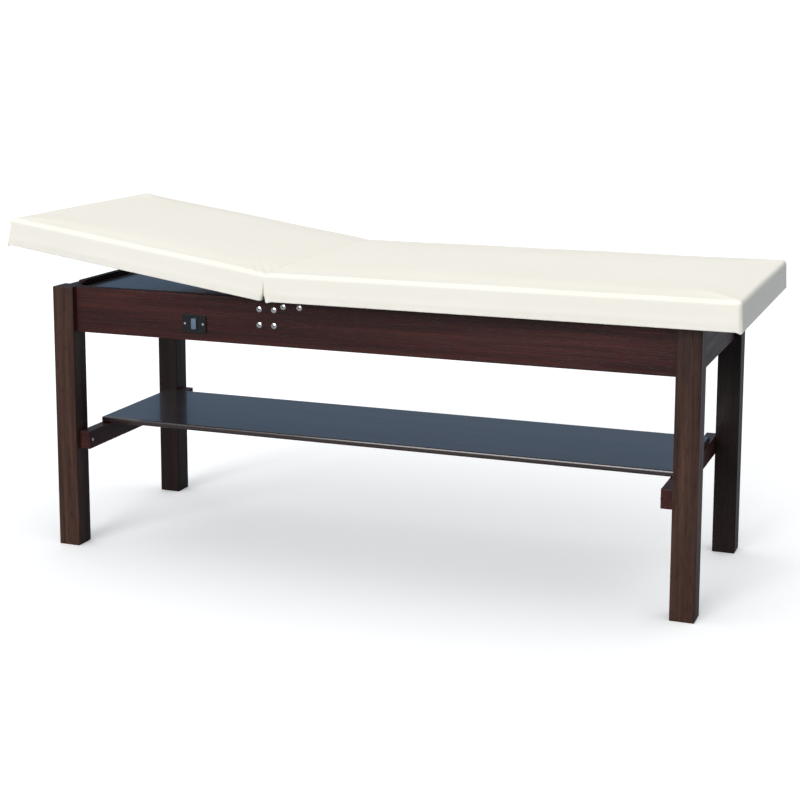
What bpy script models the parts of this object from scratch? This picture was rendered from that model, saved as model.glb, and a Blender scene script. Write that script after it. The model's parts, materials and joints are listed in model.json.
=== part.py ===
"""Wooden examination table with a two-section pad and a powered backrest.

Metres, +Z up. +X runs from the head end to the foot end and +Y from the front to the rear. The origin is on
the floor, under the middle of the whole table as it stands with its backrest a little raised.
"""
import math

import bmesh
import bpy
from mathutils import Matrix, Vector

# ---------------------------------------------------------------- driving dimensions
GAP = 0.0003  # between two pieces that touch
CUT_PAST = 0.002  # of a cutter, past the face it goes through
PLASTIC_ARRIS = 0.001
STEEL_ARRIS = 0.0008

# Frame
FRAME_LENGTH = 1.71
FRAME_WIDTH = 0.62
FRAME_HEIGHT = 0.70
LEG_SIDE = 0.06
LEG_ARRIS = 0.0025
RAIL_THICKNESS = 0.025
RAIL_HEIGHT = 0.12
RAIL_SETBACK = 0.016  # from the legs' outer faces
WOOD_ARRIS = 0.0015
PANEL_ARRIS = 0.001

# Shelf and its two stretchers
STRETCHER_THICKNESS = 0.030
STRETCHER_HEIGHT = 0.048
STRETCHER_BOTTOM = 0.264
STRETCHER_SETBACK = 0.017  # of its ends, from the legs' outer faces
SHELF_WIDTH = 0.372
SHELF_THICKNESS = 0.015
SHELF_ROUND = 0.004
SHELF_CORNER = 0.006
SHELF_END_GAP = 0.002  # between the shelf's ends and the legs' inner faces

# Dust panel under the backrest, and the bearers across the frame
PANEL_THICKNESS = 0.010
PANEL_RECESS = 0.008  # below the frame's top
PANEL_PLAY = 0.001
BEARER_WIDTH = 0.030
BEARER_HEIGHT = 0.065
PANEL_RAIL_HEIGHT = 0.045
BEARER_PLACES = (0.110, 0.445, 0.850)  # behind the backrest's axis

# Pad
PAD_WIDTH = 0.72
PAD_THICKNESS = 0.075
PAD_LIFT = 0.004  # of the pad's underside above the frame's top
SEAT_LENGTH = 1.179  # from the backrest's axis to the foot end
BACK_LENGTH = 0.748  # from the backrest's axis to the head end
PAD_EDGE_ROUND = 0.016
PAD_CORNER_ROUND = 0.014
PAD_HEM_ROUND = 0.003
BOARD_THICKNESS = 0.015
COVER_WALL = 0.006  # foam and cover outside the board's edges
BUMPER_WIDTH = 0.020
BUMPER_LENGTH = 0.42

# Backrest hinge
HINGE_X = -0.225  # from the frame's middle
HINGE_DROP = 0.012  # of the axis below the frame's top
BACK_RAISED = math.radians(8.3)  # the backrest as it stands, above flat
BACK_TRAVEL = math.radians(60.0)  # from flat to fully raised
SHAFT_RADIUS = 0.010
SHAFT_PLAY = 0.00015
PLATE_THICKNESS = 0.005
PLATE_MARGIN = 0.006  # past the heads of the square of bolts
PLATE_END = 0.004  # past the heads of the pair of bolts
PLATE_LUG = 0.0152  # of the plate above the axis
ARM_WIDTH = 0.030
ARM_THICKNESS = 0.005
ARM_LENGTH = 0.40
ARM_SPACING = 0.40

# Connector bolts through each apron and hinge plate: along X from the axis
BOLT_SQUARE = 0.0405
BOLT_SQUARE_X = -0.018
BOLT_SQUARE_DROP = 0.025  # of the square's middle below the shaft
BOLT_PAIR_X = 0.050
BOLT_PAIR_SPACING = 0.044
BOLT_PAIR_DROP = 0.017  # below the frame's top
BOLT_HEAD_RADIUS = 0.008
BOLT_HEAD_HEIGHT = 0.0035
BOLT_RIM_SHARE = 0.3  # of the head's height, up to its dome
BOLT_DOME_TURN = math.radians(68.0)
BOLT_SHANK_RADIUS = 0.003
BOLT_SOCKET_RADIUS = 0.0025
BOLT_SOCKET_DEPTH = 0.0018
BOLT_TAIL = 0.004  # behind the plate
HOLE_PLAY = 0.0003

# Wood screws of the stretchers
SCREW_HEAD_RADIUS = 0.0045
SCREW_HEAD_HEIGHT = 0.0022
SCREW_SHANK_RADIUS = 0.0022
SCREW_BITE = 0.022  # into the leg

# Lift lever and linear actuator
LEVER_REACH = 0.085  # from the axis to the lever's pin
LEVER_THICKNESS = 0.008
LEVER_EYE = 0.013
LEVER_HUB = 0.0145
PIN_RADIUS = 0.005
PIN_PROUD = 0.003  # of the pin's ends past the fork's cheeks
PIN_PLAY = 0.0012  # of the lever's pin in the rod head's slot
PIN_LEAD = -0.00033  # of the slot's middle from the pin as the backrest stands
HEAD_WALL = 0.007
HEAD_CHEEK = 0.006
HEAD_NECK = 0.014
HEAD_ARRIS = 0.0015
THROAT_CLEARANCE = 0.002  # between the tilted lever and the fork's throat
ROD_RADIUS = 0.008
ROD_LENGTH = 0.225
TUBE_RADIUS = 0.015
TUBE_LENGTH = 0.262
TUBE_PLAY = 0.0004
TUBE_CLEARANCE = 0.004  # to the rod head when it is drawn in
GEARBOX_LENGTH = 0.052
GEARBOX_WIDTH = 0.066
GEARBOX_HEIGHT = 0.052
GEARBOX_ROUND = 0.006
MOTOR_RADIUS = 0.022
MOTOR_LENGTH = 0.092
MOTOR_CLEARANCE = 0.003  # round the tube and the motor where they pass a bearer
CLAMP_LENGTH = 0.022
CLAMP_WALL = 0.006

# Control box
CONTROL_LENGTH = 0.18
CONTROL_DEPTH = 0.052
CONTROL_HEIGHT = 0.078
CONTROL_ROUND = 0.004
CONTROL_PLACE = 0.60  # of its head-end face behind the backrest's axis
CONTROL_DROP = 0.028  # below the frame's top
INLET_RADIUS = 0.009
INLET_LENGTH = 0.014

# Switch on the front apron
SWITCH_X = -0.446  # from the frame's middle
SWITCH_DROP = 0.0755
SWITCH_WIDTH = 0.067
SWITCH_HEIGHT = 0.048
SWITCH_PLATE = 0.004
SWITCH_CORNER = 0.006
ROCKER_WIDTH = 0.014
ROCKER_HEIGHT = 0.028
ROCKER_PROUD = 0.003
ROCKER_DEPTH = 0.010
ROCKER_PLAY = 0.0008
ROCKER_TAPER = 0.8  # of its height, at its back
HOUSING_WALL = 0.004
HOUSING_DEPTH = 0.034
SWITCH_SCREW_SPACING = 0.051
SWITCH_SCREW_RADIUS = 0.003
SWITCH_SCREW_PROUD = 0.001

# Leads inside the frame
LEAD_RADIUS = 0.0025
LEAD_BEND = 0.012

# ---------------------------------------------------------------- places worked out from them
BACK_HIDE = PAD_LIFT + HINGE_DROP  # the pad's underside above the axis
AXIS_Z = FRAME_HEIGHT - HINGE_DROP
PAD_BOTTOM = FRAME_HEIGHT + PAD_LIFT
PAD_TOP = PAD_BOTTOM + PAD_THICKNESS


def head_reach():
    """How far the raised backrest reaches past its axis: its hem's rounding is the outermost point."""
    along = (BACK_LENGTH - PAD_HEM_ROUND) * math.cos(BACK_RAISED)
    across = (BACK_HIDE + PAD_HEM_ROUND) * math.sin(BACK_RAISED)
    return along - across + PAD_HEM_ROUND


AXIS_X = (head_reach() - SEAT_LENGTH) / 2  # so that the origin is under the table's middle
FRAME_X = AXIS_X - HINGE_X
FRAME_HEAD = FRAME_X - FRAME_LENGTH / 2
FRAME_FOOT = FRAME_X + FRAME_LENGTH / 2
APRON_FACE = FRAME_WIDTH / 2 - RAIL_SETBACK
APRON_BACK = APRON_FACE - RAIL_THICKNESS
RAIL_BOTTOM = FRAME_HEIGHT - RAIL_HEIGHT
PANEL_BOTTOM = FRAME_HEIGHT - PANEL_RECESS - PANEL_THICKNESS
BEARER_BOTTOM = PAD_BOTTOM - GAP - BEARER_HEIGHT
SEAM = BACK_HIDE * math.tan(BACK_TRAVEL / 2) + GAP  # keeps the two sections apart at full travel
SEAM_LEAN = PAD_THICKNESS * math.tan(BACK_TRAVEL / 2)
BOARD_SETBACK = BOARD_THICKNESS * math.tan(BACK_TRAVEL / 2) + COVER_WALL  # of the board from its seam face
SQUARE_LEFT = AXIS_X + BOLT_SQUARE_X - BOLT_SQUARE / 2
PAIR_RIGHT = AXIS_X + BOLT_PAIR_X + BOLT_PAIR_SPACING / 2
PLATE_HEAD = SQUARE_LEFT - BOLT_HEAD_RADIUS - PLATE_MARGIN
PLATE_FOOT = PAIR_RIGHT + BOLT_HEAD_RADIUS + PLATE_END
SQUARE_Z = AXIS_Z - SHAFT_RADIUS - BOLT_SQUARE_DROP
PLATE_BOTTOM = SQUARE_Z - BOLT_SQUARE / 2 - BOLT_HEAD_RADIUS - PLATE_MARGIN
PIN_LOWEST = AXIS_Z - LEVER_REACH
PIN_HIGHEST = AXIS_Z - LEVER_REACH * math.cos(BACK_TRAVEL / 2)
ROD_Z = (PIN_LOWEST + PIN_HIGHEST) / 2
LEVER_REST = BACK_RAISED - BACK_TRAVEL / 2  # the lever's angle past straight down, as it stands
ROD_HEAD_X = AXIS_X - LEVER_REACH * math.sin(LEVER_REST) + PIN_LEAD
SLOT_HALF_WIDTH = PIN_RADIUS + PIN_PLAY
PIN_RISE = (PIN_HIGHEST - PIN_LOWEST) / 2
SLOT_HALF_HEIGHT = PIN_RISE + PIN_RADIUS + PIN_PLAY
HEAD_HALF_HEIGHT = SLOT_HALF_HEIGHT + HEAD_WALL
THROAT = (
    LEVER_HUB / math.cos(BACK_TRAVEL / 2)
    + (HEAD_HALF_HEIGHT - PIN_RISE) * math.tan(BACK_TRAVEL / 2)
    + THROAT_CLEARANCE
)  # of the fork behind the slot's middle
HEAD_BACK = THROAT + HEAD_NECK
TUBE_FRONT = AXIS_X + LEVER_REACH * math.sin(BACK_TRAVEL / 2) + HEAD_BACK + TUBE_CLEARANCE
TUBE_BACK = TUBE_FRONT + TUBE_LENGTH
GEARBOX_BACK = TUBE_BACK + GAP + GEARBOX_LENGTH
MOTOR_BACK = GEARBOX_BACK + GAP + MOTOR_LENGTH
CONTROL_HEAD = AXIS_X + CONTROL_PLACE
CONTROL_TOP = FRAME_HEIGHT - CONTROL_DROP
SWITCH_AT = FRAME_X + SWITCH_X
SWITCH_Z = FRAME_HEIGHT - SWITCH_DROP
ENDS = {"head": -1, "foot": 1}
SIDES = {"front": -1, "rear": 1}


# ---------------------------------------------------------------- materials
def material(name, colour, roughness, metallic=0.0):
    made = bpy.data.materials.new(name)
    made.use_nodes = True
    shader = made.node_tree.nodes["Principled BSDF"]
    shader.inputs["Base Color"].default_value = (*colour, 1.0)
    shader.inputs["Roughness"].default_value = roughness
    shader.inputs["Metallic"].default_value = metallic
    return made


# ---------------------------------------------------------------- modelling helpers
def finish_object(name, mesh_data, paint, arris=0.0):
    """An object from a bmesh, with its edges broken by a small bevel."""
    bmesh.ops.recalc_face_normals(mesh_data, faces=mesh_data.faces)
    mesh = bpy.data.meshes.new(name)
    mesh_data.to_mesh(mesh)
    mesh_data.free()
    made = bpy.data.objects.new(name, mesh)
    bpy.context.scene.collection.objects.link(made)
    made.data.materials.append(paint)
    if arris:
        bevel = made.modifiers.new("arris", "BEVEL")
        bevel.width = arris
        bevel.segments = 2
        bevel.limit_method = "ANGLE"
    return made


def block(name, low, high, paint, arris=0.0):
    """A box between two opposite corners."""
    low, high = Vector(low), Vector(high)
    made = bmesh.new()
    place = Matrix.Translation((low + high) / 2) @ Matrix.Diagonal((*(high - low), 1.0))
    bmesh.ops.create_cube(made, size=1.0, matrix=place)
    return finish_object(name, made, paint, arris)


def along(axis):
    """The turn that takes +Z to an axis."""
    return Vector((0, 0, 1)).rotation_difference(Vector(axis)).to_matrix().to_4x4()


def rod(name, start, axis, length, radius, paint, segments=32):
    """A round bar from a point along an axis."""
    axis = Vector(axis)
    made = bmesh.new()
    place = Matrix.Translation(Vector(start) + axis * length / 2) @ along(axis)
    bmesh.ops.create_cone(
        made, cap_ends=True, segments=segments, radius1=radius, radius2=radius, depth=length, matrix=place
    )
    return smooth(finish_object(name, made, paint))


def smooth(made):
    made.data.shade_smooth()
    made.data.set_sharp_from_angle(angle=math.radians(35))
    return made


def prism(name, outline, axis, start, end, paint, arris=0.0):
    """A closed outline of (u, v) points drawn out along Y (u is X, v is Z) or along Z (u is X, v is Y)."""
    made = bmesh.new()
    points = [(u, start, v) if axis == "Y" else (u, v, start) for u, v in outline]
    face = made.faces.new([made.verts.new(p) for p in points])
    drawn = bmesh.ops.extrude_face_region(made, geom=[face])["geom"]
    travel = (0, end - start, 0) if axis == "Y" else (0, 0, end - start)
    bmesh.ops.translate(made, vec=travel, verts=[g for g in drawn if isinstance(g, bmesh.types.BMVert)])
    return finish_object(name, made, paint, arris)


def arc(centre, radius, start, end, steps=12):
    """Points round a circle, angles in degrees."""
    turns = [math.radians(start + (end - start) * i / steps) for i in range(steps + 1)]
    return [(centre[0] + radius * math.cos(a), centre[1] + radius * math.sin(a)) for a in turns]


def rounded_rectangle(low, high, radius, steps=5):
    """Points round a rectangle with round corners, counter-clockwise."""
    corners = (
        ((high[0] - radius, low[1] + radius), -90),
        ((high[0] - radius, high[1] - radius), 0),
        ((low[0] + radius, high[1] - radius), 90),
        ((low[0] + radius, low[1] + radius), 180),
    )
    return [p for centre, start in corners for p in arc(centre, radius, start, start + 90, steps)]


def cut(target, cutter, operation="DIFFERENCE"):
    """Takes the cutter's shape out of the target, which then carries the cutter with it."""
    cutter.hide_render = True
    cutter.display_type = "WIRE"
    cutter.parent = target
    boolean = target.modifiers.new(cutter.name, "BOOLEAN")
    boolean.operation = operation
    boolean.solver = "EXACT"
    boolean.object = cutter


def drill(target, start, axis, depth, radius, paint, segments=24):
    """A round hole. It starts a little outside the face."""
    axis = Vector(axis)
    hole = f"hole_{len(target.modifiers)}_in_{target.name}"
    start = Vector(start) - axis * CUT_PAST
    cut(target, rod(hole, start, axis, depth + CUT_PAST, radius, paint, segments))


# ---------------------------------------------------------------- wooden frame
def legs(wood):
    made = {}
    for end, ex in ENDS.items():
        for side, sy in SIDES.items():
            outer = Vector((FRAME_X + ex * FRAME_LENGTH / 2, sy * FRAME_WIDTH / 2, 0.0))
            inner = outer - Vector((ex * LEG_SIDE, sy * LEG_SIDE, -FRAME_HEIGHT))
            low = [min(a, b) for a, b in zip(outer, inner)]
            high = [max(a, b) for a, b in zip(outer, inner)]
            made[end, side] = block(f"leg_{side}_{end}", low, high, wood, LEG_ARRIS)
    return made


def rails(wood):
    """The two long aprons and the two end rails, between the legs."""
    made = {}
    for side, sy in SIDES.items():
        faces = sorted((sy * APRON_FACE, sy * APRON_BACK))
        low = (FRAME_HEAD + LEG_SIDE + GAP, faces[0], RAIL_BOTTOM)
        high = (FRAME_FOOT - LEG_SIDE - GAP, faces[1], FRAME_HEIGHT)
        made[side] = block(f"apron_{side}", low, high, wood, WOOD_ARRIS)
    reach = FRAME_WIDTH / 2 - LEG_SIDE - GAP
    for end, ex in ENDS.items():
        face = FRAME_X + ex * (FRAME_LENGTH / 2 - RAIL_SETBACK)
        xs = sorted((face, face - ex * RAIL_THICKNESS))
        low, high = (xs[0], -reach, RAIL_BOTTOM), (xs[1], reach, FRAME_HEIGHT)
        made[end] = block(f"rail_{end}", low, high, wood, WOOD_ARRIS)
    return made


def bearers(wood):
    """Cross bearers that carry the fixed section, and the lower rail that carries the dust panel."""
    reach = APRON_BACK - GAP
    made = []
    for number, place in enumerate(BEARER_PLACES, 1):
        x = AXIS_X + place
        low = (x - BEARER_WIDTH / 2, -reach, BEARER_BOTTOM)
        high = (x + BEARER_WIDTH / 2, reach, PAD_BOTTOM - GAP)
        made.append(block(f"seat_bearer_{number}", low, high, wood, WOOD_ARRIS))
    top = PANEL_BOTTOM - GAP
    foot = PLATE_HEAD - GAP
    block(
        "panel_rail",
        (foot - BEARER_WIDTH, -reach, top - PANEL_RAIL_HEIGHT),
        (foot, reach, top),
        wood,
        WOOD_ARRIS,
    )
    return made


def dust_panel(lacquer):
    """A lacquered panel inside the rails under the backrest, notched round the two legs."""
    foot = PLATE_HEAD - GAP
    head = FRAME_HEAD + RAIL_SETBACK + RAIL_THICKNESS + PANEL_PLAY
    leg = FRAME_HEAD + LEG_SIDE + PANEL_PLAY
    wide = APRON_BACK - PANEL_PLAY
    narrow = FRAME_WIDTH / 2 - LEG_SIDE - PANEL_PLAY
    outline = [
        (head, -narrow),
        (leg, -narrow),
        (leg, -wide),
        (foot, -wide),
        (foot, wide),
        (leg, wide),
        (leg, narrow),
        (head, narrow),
    ]
    prism("dust_panel", outline, "Z", PANEL_BOTTOM, PANEL_BOTTOM + PANEL_THICKNESS, lacquer, PANEL_ARRIS)


def shelf_and_stretchers(wood, steel, frame_legs):
    inner = FRAME_LENGTH / 2 - LEG_SIDE - GAP
    reach = FRAME_WIDTH / 2 - STRETCHER_SETBACK
    top = STRETCHER_BOTTOM + STRETCHER_HEIGHT
    for end, ex in ENDS.items():
        outer = FRAME_X + ex * inner
        xs = sorted((outer, outer - ex * STRETCHER_THICKNESS))
        low, high = (xs[0], -reach, STRETCHER_BOTTOM), (xs[1], reach, top)
        stretcher = block(f"stretcher_{end}", low, high, wood, WOOD_ARRIS)
        for side, sy in SIDES.items():
            face = (outer - ex * STRETCHER_THICKNESS, sy * (FRAME_WIDTH - LEG_SIDE) / 2, (low[2] + top) / 2)
            stretcher_screw(f"stretcher_screw_{side}_{end}", face, ex, stretcher, frame_legs[end, side], steel)
    end = inner - SHELF_END_GAP + GAP
    half = SHELF_WIDTH / 2
    outline = rounded_rectangle((FRAME_X - end, -half), (FRAME_X + end, half), SHELF_CORNER)
    prism("shelf", outline, "Z", top + GAP, top + GAP + SHELF_THICKNESS, wood, SHELF_ROUND)


def stretcher_screw(name, face, outwards, stretcher, leg, steel):
    """A screw through the stretcher into the leg, with its low round head on the inner face."""
    way = (outwards, 0, 0)
    bite = STRETCHER_THICKNESS + SCREW_BITE
    start = Vector(face) - Vector(way) * (SCREW_HEAD_HEIGHT + GAP)
    screw = rod(name, start, way, SCREW_HEAD_HEIGHT, SCREW_HEAD_RADIUS, steel)
    shank_start = start + Vector(way) * SCREW_HEAD_HEIGHT / 2
    shank = rod(f"{name}_shank", shank_start, way, bite, SCREW_SHANK_RADIUS, steel, 24)
    cut(screw, shank, "UNION")
    hole = SCREW_SHANK_RADIUS + HOLE_PLAY
    drill(stretcher, face, way, STRETCHER_THICKNESS + CUT_PAST, hole, steel)
    leg_face = Vector(face) + Vector(way) * STRETCHER_THICKNESS
    drill(leg, leg_face, way, SCREW_BITE, hole, steel)


# ---------------------------------------------------------------- pad
def section_outline(seam_x, end_x):
    """A pad section from the side, as (x, z) points. Its seam face leans back from the other section."""
    lean = math.copysign(SEAM_LEAN, end_x - seam_x)
    return [(seam_x, PAD_BOTTOM), (end_x, PAD_BOTTOM), (end_x, PAD_TOP), (seam_x + lean, PAD_TOP)]


def cushion(name, seam_x, end_x, vinyl):
    """A pad section with round top edges, and a recess underneath that holds its board."""
    half = PAD_WIDTH / 2
    made = bmesh.new()
    outline = section_outline(seam_x, end_x)
    front = [made.verts.new((x, -half, z)) for x, z in outline]
    rear = [made.verts.new((x, half, z)) for x, z in outline]
    made.faces.new(front)
    made.faces.new(reversed(rear))
    for i in range(4):
        made.faces.new((front[i], rear[i], rear[(i + 1) % 4], front[(i + 1) % 4]))
    bmesh.ops.recalc_face_normals(made, faces=made.faces)

    def edges_where(test):
        return [e for e in made.edges if all(test(v.co) for v in e.verts)]

    def at_end(p):
        return abs(p.x - end_x) < 1e-5

    def at_side(p):
        return abs(abs(p.y) - half) < 1e-5

    corners = [e for e in edges_where(at_end) if abs(e.verts[0].co.z - e.verts[1].co.z) > PAD_THICKNESS / 2]
    bmesh.ops.bevel(made, geom=corners, offset=PAD_CORNER_ROUND, segments=5, profile=0.5, affect="EDGES")
    for height, radius, segments in ((PAD_TOP, PAD_EDGE_ROUND, 6), (PAD_BOTTOM, PAD_HEM_ROUND, 3)):
        seam_end = seam_x if height == PAD_BOTTOM else outline[3][0]
        rim = [
            e
            for e in edges_where(lambda p, z=height: abs(p.z - z) < 1e-5)
            if not all(abs(v.co.x - seam_end) < 1e-5 for v in e.verts)
        ]
        bmesh.ops.bevel(made, geom=rim, offset=radius, segments=segments, profile=0.5, affect="EDGES")
    return smooth(finish_object(name, made, vinyl))


def pad_section(name, seam_x, end_x, wood, vinyl):
    """A board, and the cushion round it."""
    side = math.copysign(1.0, end_x - seam_x)
    half = PAD_WIDTH / 2 - COVER_WALL
    xs = sorted((seam_x + side * BOARD_SETBACK, end_x - side * COVER_WALL))
    board_top = PAD_BOTTOM + BOARD_THICKNESS
    padding = cushion(f"{name}_cushion", seam_x, end_x, vinyl)
    recess = block(
        f"{name}_recess",
        (xs[0], -half, PAD_BOTTOM - BOARD_THICKNESS),
        (xs[1], half, board_top),
        vinyl,
    )
    cut(padding, recess)
    low = (xs[0] + GAP, -half + GAP, PAD_BOTTOM)
    high = (xs[1] - GAP, half - GAP, board_top - GAP)
    board = block(f"{name}_board", low, high, wood)
    return [padding, board]


# ---------------------------------------------------------------- hinge
def hinge_plate(side, steel):
    """A plate on the apron's inner face that carries the bolts and the end of the shaft."""
    sy = SIDES[side]
    outer = sy * (APRON_BACK - GAP)
    ys = sorted((outer, outer - sy * PLATE_THICKNESS))
    lug = AXIS_Z + PLATE_LUG
    low, high = (PLATE_HEAD, ys[0], PLATE_BOTTOM), (PLATE_FOOT, ys[1], lug)
    plate = block(f"hinge_plate_{side}", low, high, steel)
    start = (AXIS_X, ys[0], AXIS_Z)
    drill(plate, start, (0, 1, 0), PLATE_THICKNESS + CUT_PAST, SHAFT_RADIUS + SHAFT_PLAY, steel, 48)
    return plate


def bolt_places():
    """Where the bolts are: four in a square and two side by side above them."""
    square = [
        (AXIS_X + BOLT_SQUARE_X + i * BOLT_SQUARE / 2, SQUARE_Z + j * BOLT_SQUARE / 2)
        for i in (-1, 1)
        for j in (-1, 1)
    ]
    pair = [
        (AXIS_X + BOLT_PAIR_X + i * BOLT_PAIR_SPACING / 2, FRAME_HEIGHT - BOLT_PAIR_DROP) for i in (-1, 1)
    ]
    return square + pair


def connector_bolt(name, x, z, side, apron, plate, chrome):
    """A bolt with a low domed head and a hexagon socket, through the apron and the hinge plate."""
    inwards = -SIDES[side]
    way = Vector((0, inwards, 0))
    seat = Vector((x, -inwards * (APRON_FACE + GAP), z))
    length = GAP + RAIL_THICKNESS + GAP + PLATE_THICKNESS + BOLT_TAIL
    crown = seat - way * BOLT_HEAD_HEIGHT
    made = bmesh.new()
    steps = 5
    rim = BOLT_HEAD_HEIGHT * BOLT_RIM_SHARE
    dome = BOLT_HEAD_HEIGHT - rim
    rings = [
        (BOLT_HEAD_RADIUS * math.cos(a), rim + dome * math.sin(a))
        for a in (BOLT_DOME_TURN * i / steps for i in range(steps + 1))
    ]
    profile = [(BOLT_SHANK_RADIUS, -length), (BOLT_SHANK_RADIUS, 0.0), (BOLT_HEAD_RADIUS, 0.0), *rings]
    turned(made, profile, Matrix.Translation(seat) @ along(-way))
    bolt = smooth(finish_object(name, made, chrome))
    mouth = crown - way * CUT_PAST
    socket = rod(f"{name}_socket", mouth, way, BOLT_SOCKET_DEPTH + CUT_PAST, BOLT_SOCKET_RADIUS, chrome, 6)
    cut(bolt, socket)
    hole = BOLT_SHANK_RADIUS + HOLE_PLAY
    drill(apron, seat, way, RAIL_THICKNESS + CUT_PAST, hole, chrome)
    behind = (x, -inwards * APRON_BACK, z)
    drill(plate, behind, way, PLATE_THICKNESS + CUT_PAST, hole, chrome)


def turned(made, profile, place, segments=24):
    """A solid turned about Z from (radius, height) points, with flat ends."""
    rings = []
    for radius, height in profile:
        turns = [2 * math.pi * i / segments for i in range(segments)]
        circle = [Vector((radius * math.cos(a), radius * math.sin(a), height)) for a in turns]
        rings.append([made.verts.new(place @ point) for point in circle])
    for lower, upper in zip(rings, rings[1:]):
        for i in range(segments):
            j = (i + 1) % segments
            made.faces.new((lower[i], lower[j], upper[j], upper[i]))
    made.faces.new(reversed(rings[0]))
    made.faces.new(rings[-1])


def shaft_and_arms(steel):
    reach = APRON_BACK - 2 * GAP
    shaft = rod("hinge_shaft", (AXIS_X, -reach, AXIS_Z), (0, 1, 0), 2 * reach, SHAFT_RADIUS, steel, 48)
    arm_top = PAD_BOTTOM - GAP
    arm_bottom = AXIS_Z + SHAFT_RADIUS + GAP
    made = [shaft]
    for side, sy in SIDES.items():
        y = sy * ARM_SPACING / 2
        low = (AXIS_X - ARM_LENGTH, y - ARM_WIDTH / 2, max(arm_bottom, arm_top - ARM_THICKNESS))
        high = (AXIS_X - SEAM, y + ARM_WIDTH / 2, arm_top)
        made.append(block(f"backrest_arm_{side}", low, high, steel, STEEL_ARRIS))
    return made


# ---------------------------------------------------------------- lift
def lift_lever(steel):
    """The lever under the shaft, drawn straight down from the axis; its pin crosses the rod head's slots."""
    half = LEVER_THICKNESS / 2
    pin_z = AXIS_Z - LEVER_REACH
    slope = math.degrees(math.asin((LEVER_HUB - LEVER_EYE) / LEVER_REACH))
    outline = arc((AXIS_X, AXIS_Z), LEVER_HUB, -slope, 180 + slope, 24)
    outline += arc((AXIS_X, pin_z), LEVER_EYE, 180 + slope, 360 - slope, 16)
    lever = prism("lift_lever", outline, "Y", -half, half, steel, STEEL_ARRIS)
    through = LEVER_THICKNESS + CUT_PAST
    drill(lever, (AXIS_X, -half, AXIS_Z), (0, 1, 0), through, SHAFT_RADIUS + GAP, steel, 48)
    drill(lever, (AXIS_X, -half, pin_z), (0, 1, 0), through, PIN_RADIUS + GAP, steel)
    reach = half + 2 * GAP + HEAD_CHEEK + PIN_PROUD
    pin = rod("lever_pin", (AXIS_X, -reach, pin_z), (0, 1, 0), 2 * reach, PIN_RADIUS, steel)
    return [lever, pin]


def rod_and_head(steel, chrome):
    """The rod that slides out of the actuator, with a fork whose two upright slots take the lever's pin."""
    x, z = ROD_HEAD_X, ROD_Z
    inner = LEVER_THICKNESS / 2 + 2 * GAP
    outer = inner + HEAD_CHEEK
    front = x - SLOT_HALF_WIDTH - HEAD_WALL
    back = x + HEAD_BACK
    tall = HEAD_HALF_HEIGHT
    fork = block("rod_head", (front, -outer, z - tall), (back, outer, z + tall), steel, HEAD_ARRIS)
    opening = block(
        "rod_head_throat",
        (front - CUT_PAST, -inner, z - tall - CUT_PAST),
        (x + THROAT, inner, z + tall + CUT_PAST),
        steel,
    )
    cut(fork, opening)
    straight = SLOT_HALF_HEIGHT - SLOT_HALF_WIDTH
    slot_outline = arc((x, z + straight), SLOT_HALF_WIDTH, 0, 180)
    slot_outline += arc((x, z - straight), SLOT_HALF_WIDTH, 180, 360)
    slot = prism("rod_head_slot", slot_outline, "Y", -outer - CUT_PAST, outer + CUT_PAST, steel)
    cut(fork, slot)
    rod("actuator_rod", (back + GAP, 0, z), (1, 0, 0), ROD_LENGTH, ROD_RADIUS, chrome)


def actuator(steel, plastic, frame_bearers):
    """The tube, gearbox and motor, held under two of the bearers by clamps."""
    tube = rod("actuator_tube", (TUBE_FRONT, 0, ROD_Z), (1, 0, 0), TUBE_LENGTH, TUBE_RADIUS, steel)
    bore = ROD_RADIUS + TUBE_PLAY
    drill(tube, (TUBE_FRONT, 0, ROD_Z), (1, 0, 0), TUBE_LENGTH + CUT_PAST, bore, steel, 32)
    half_width, half_height = GEARBOX_WIDTH / 2, GEARBOX_HEIGHT / 2
    block(
        "actuator_gearbox",
        (TUBE_BACK + GAP, -half_width, ROD_Z - half_height),
        (GEARBOX_BACK, half_width, ROD_Z + half_height),
        plastic,
        GEARBOX_ROUND,
    )
    rod("actuator_motor", (GEARBOX_BACK + GAP, 0, ROD_Z), (1, 0, 0), MOTOR_LENGTH, MOTOR_RADIUS, plastic, 40)
    clamp("tube_clamp", AXIS_X + BEARER_PLACES[0], TUBE_RADIUS, steel)
    clamp("motor_clamp", AXIS_X + BEARER_PLACES[1], MOTOR_RADIUS, steel)
    for bearer, place, radius in zip(frame_bearers, BEARER_PLACES, (TUBE_RADIUS, MOTOR_RADIUS)):
        if ROD_Z + radius + MOTOR_CLEARANCE > BEARER_BOTTOM:
            start = (AXIS_X + place - BEARER_WIDTH / 2, 0, ROD_Z)
            drill(bearer, start, (1, 0, 0), BEARER_WIDTH + CUT_PAST, radius + MOTOR_CLEARANCE, steel, 40)


def clamp(name, x, radius, steel):
    """A saddle under a bearer, bored for what it holds."""
    half = radius + CLAMP_WALL
    low = (x - CLAMP_LENGTH / 2, -half, ROD_Z - half + CLAMP_WALL / 2)
    high = (x + CLAMP_LENGTH / 2, half, BEARER_BOTTOM - GAP)
    made = block(name, low, high, steel, STEEL_ARRIS)
    drill(made, (low[0], 0, ROD_Z), (1, 0, 0), CLAMP_LENGTH + CUT_PAST, radius + GAP, steel, 40)


def control_box(plastic, rubber):
    back = APRON_BACK - GAP
    low = (CONTROL_HEAD, back - CONTROL_DEPTH, CONTROL_TOP - CONTROL_HEIGHT)
    high = (CONTROL_HEAD + CONTROL_LENGTH, back, CONTROL_TOP)
    block("control_box", low, high, plastic, CONTROL_ROUND)
    inlet = (high[0] + GAP, back - CONTROL_DEPTH / 2, low[2] + CONTROL_HEIGHT / 2)
    rod("mains_inlet", inlet, (1, 0, 0), INLET_LENGTH, INLET_RADIUS, rubber)


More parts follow.
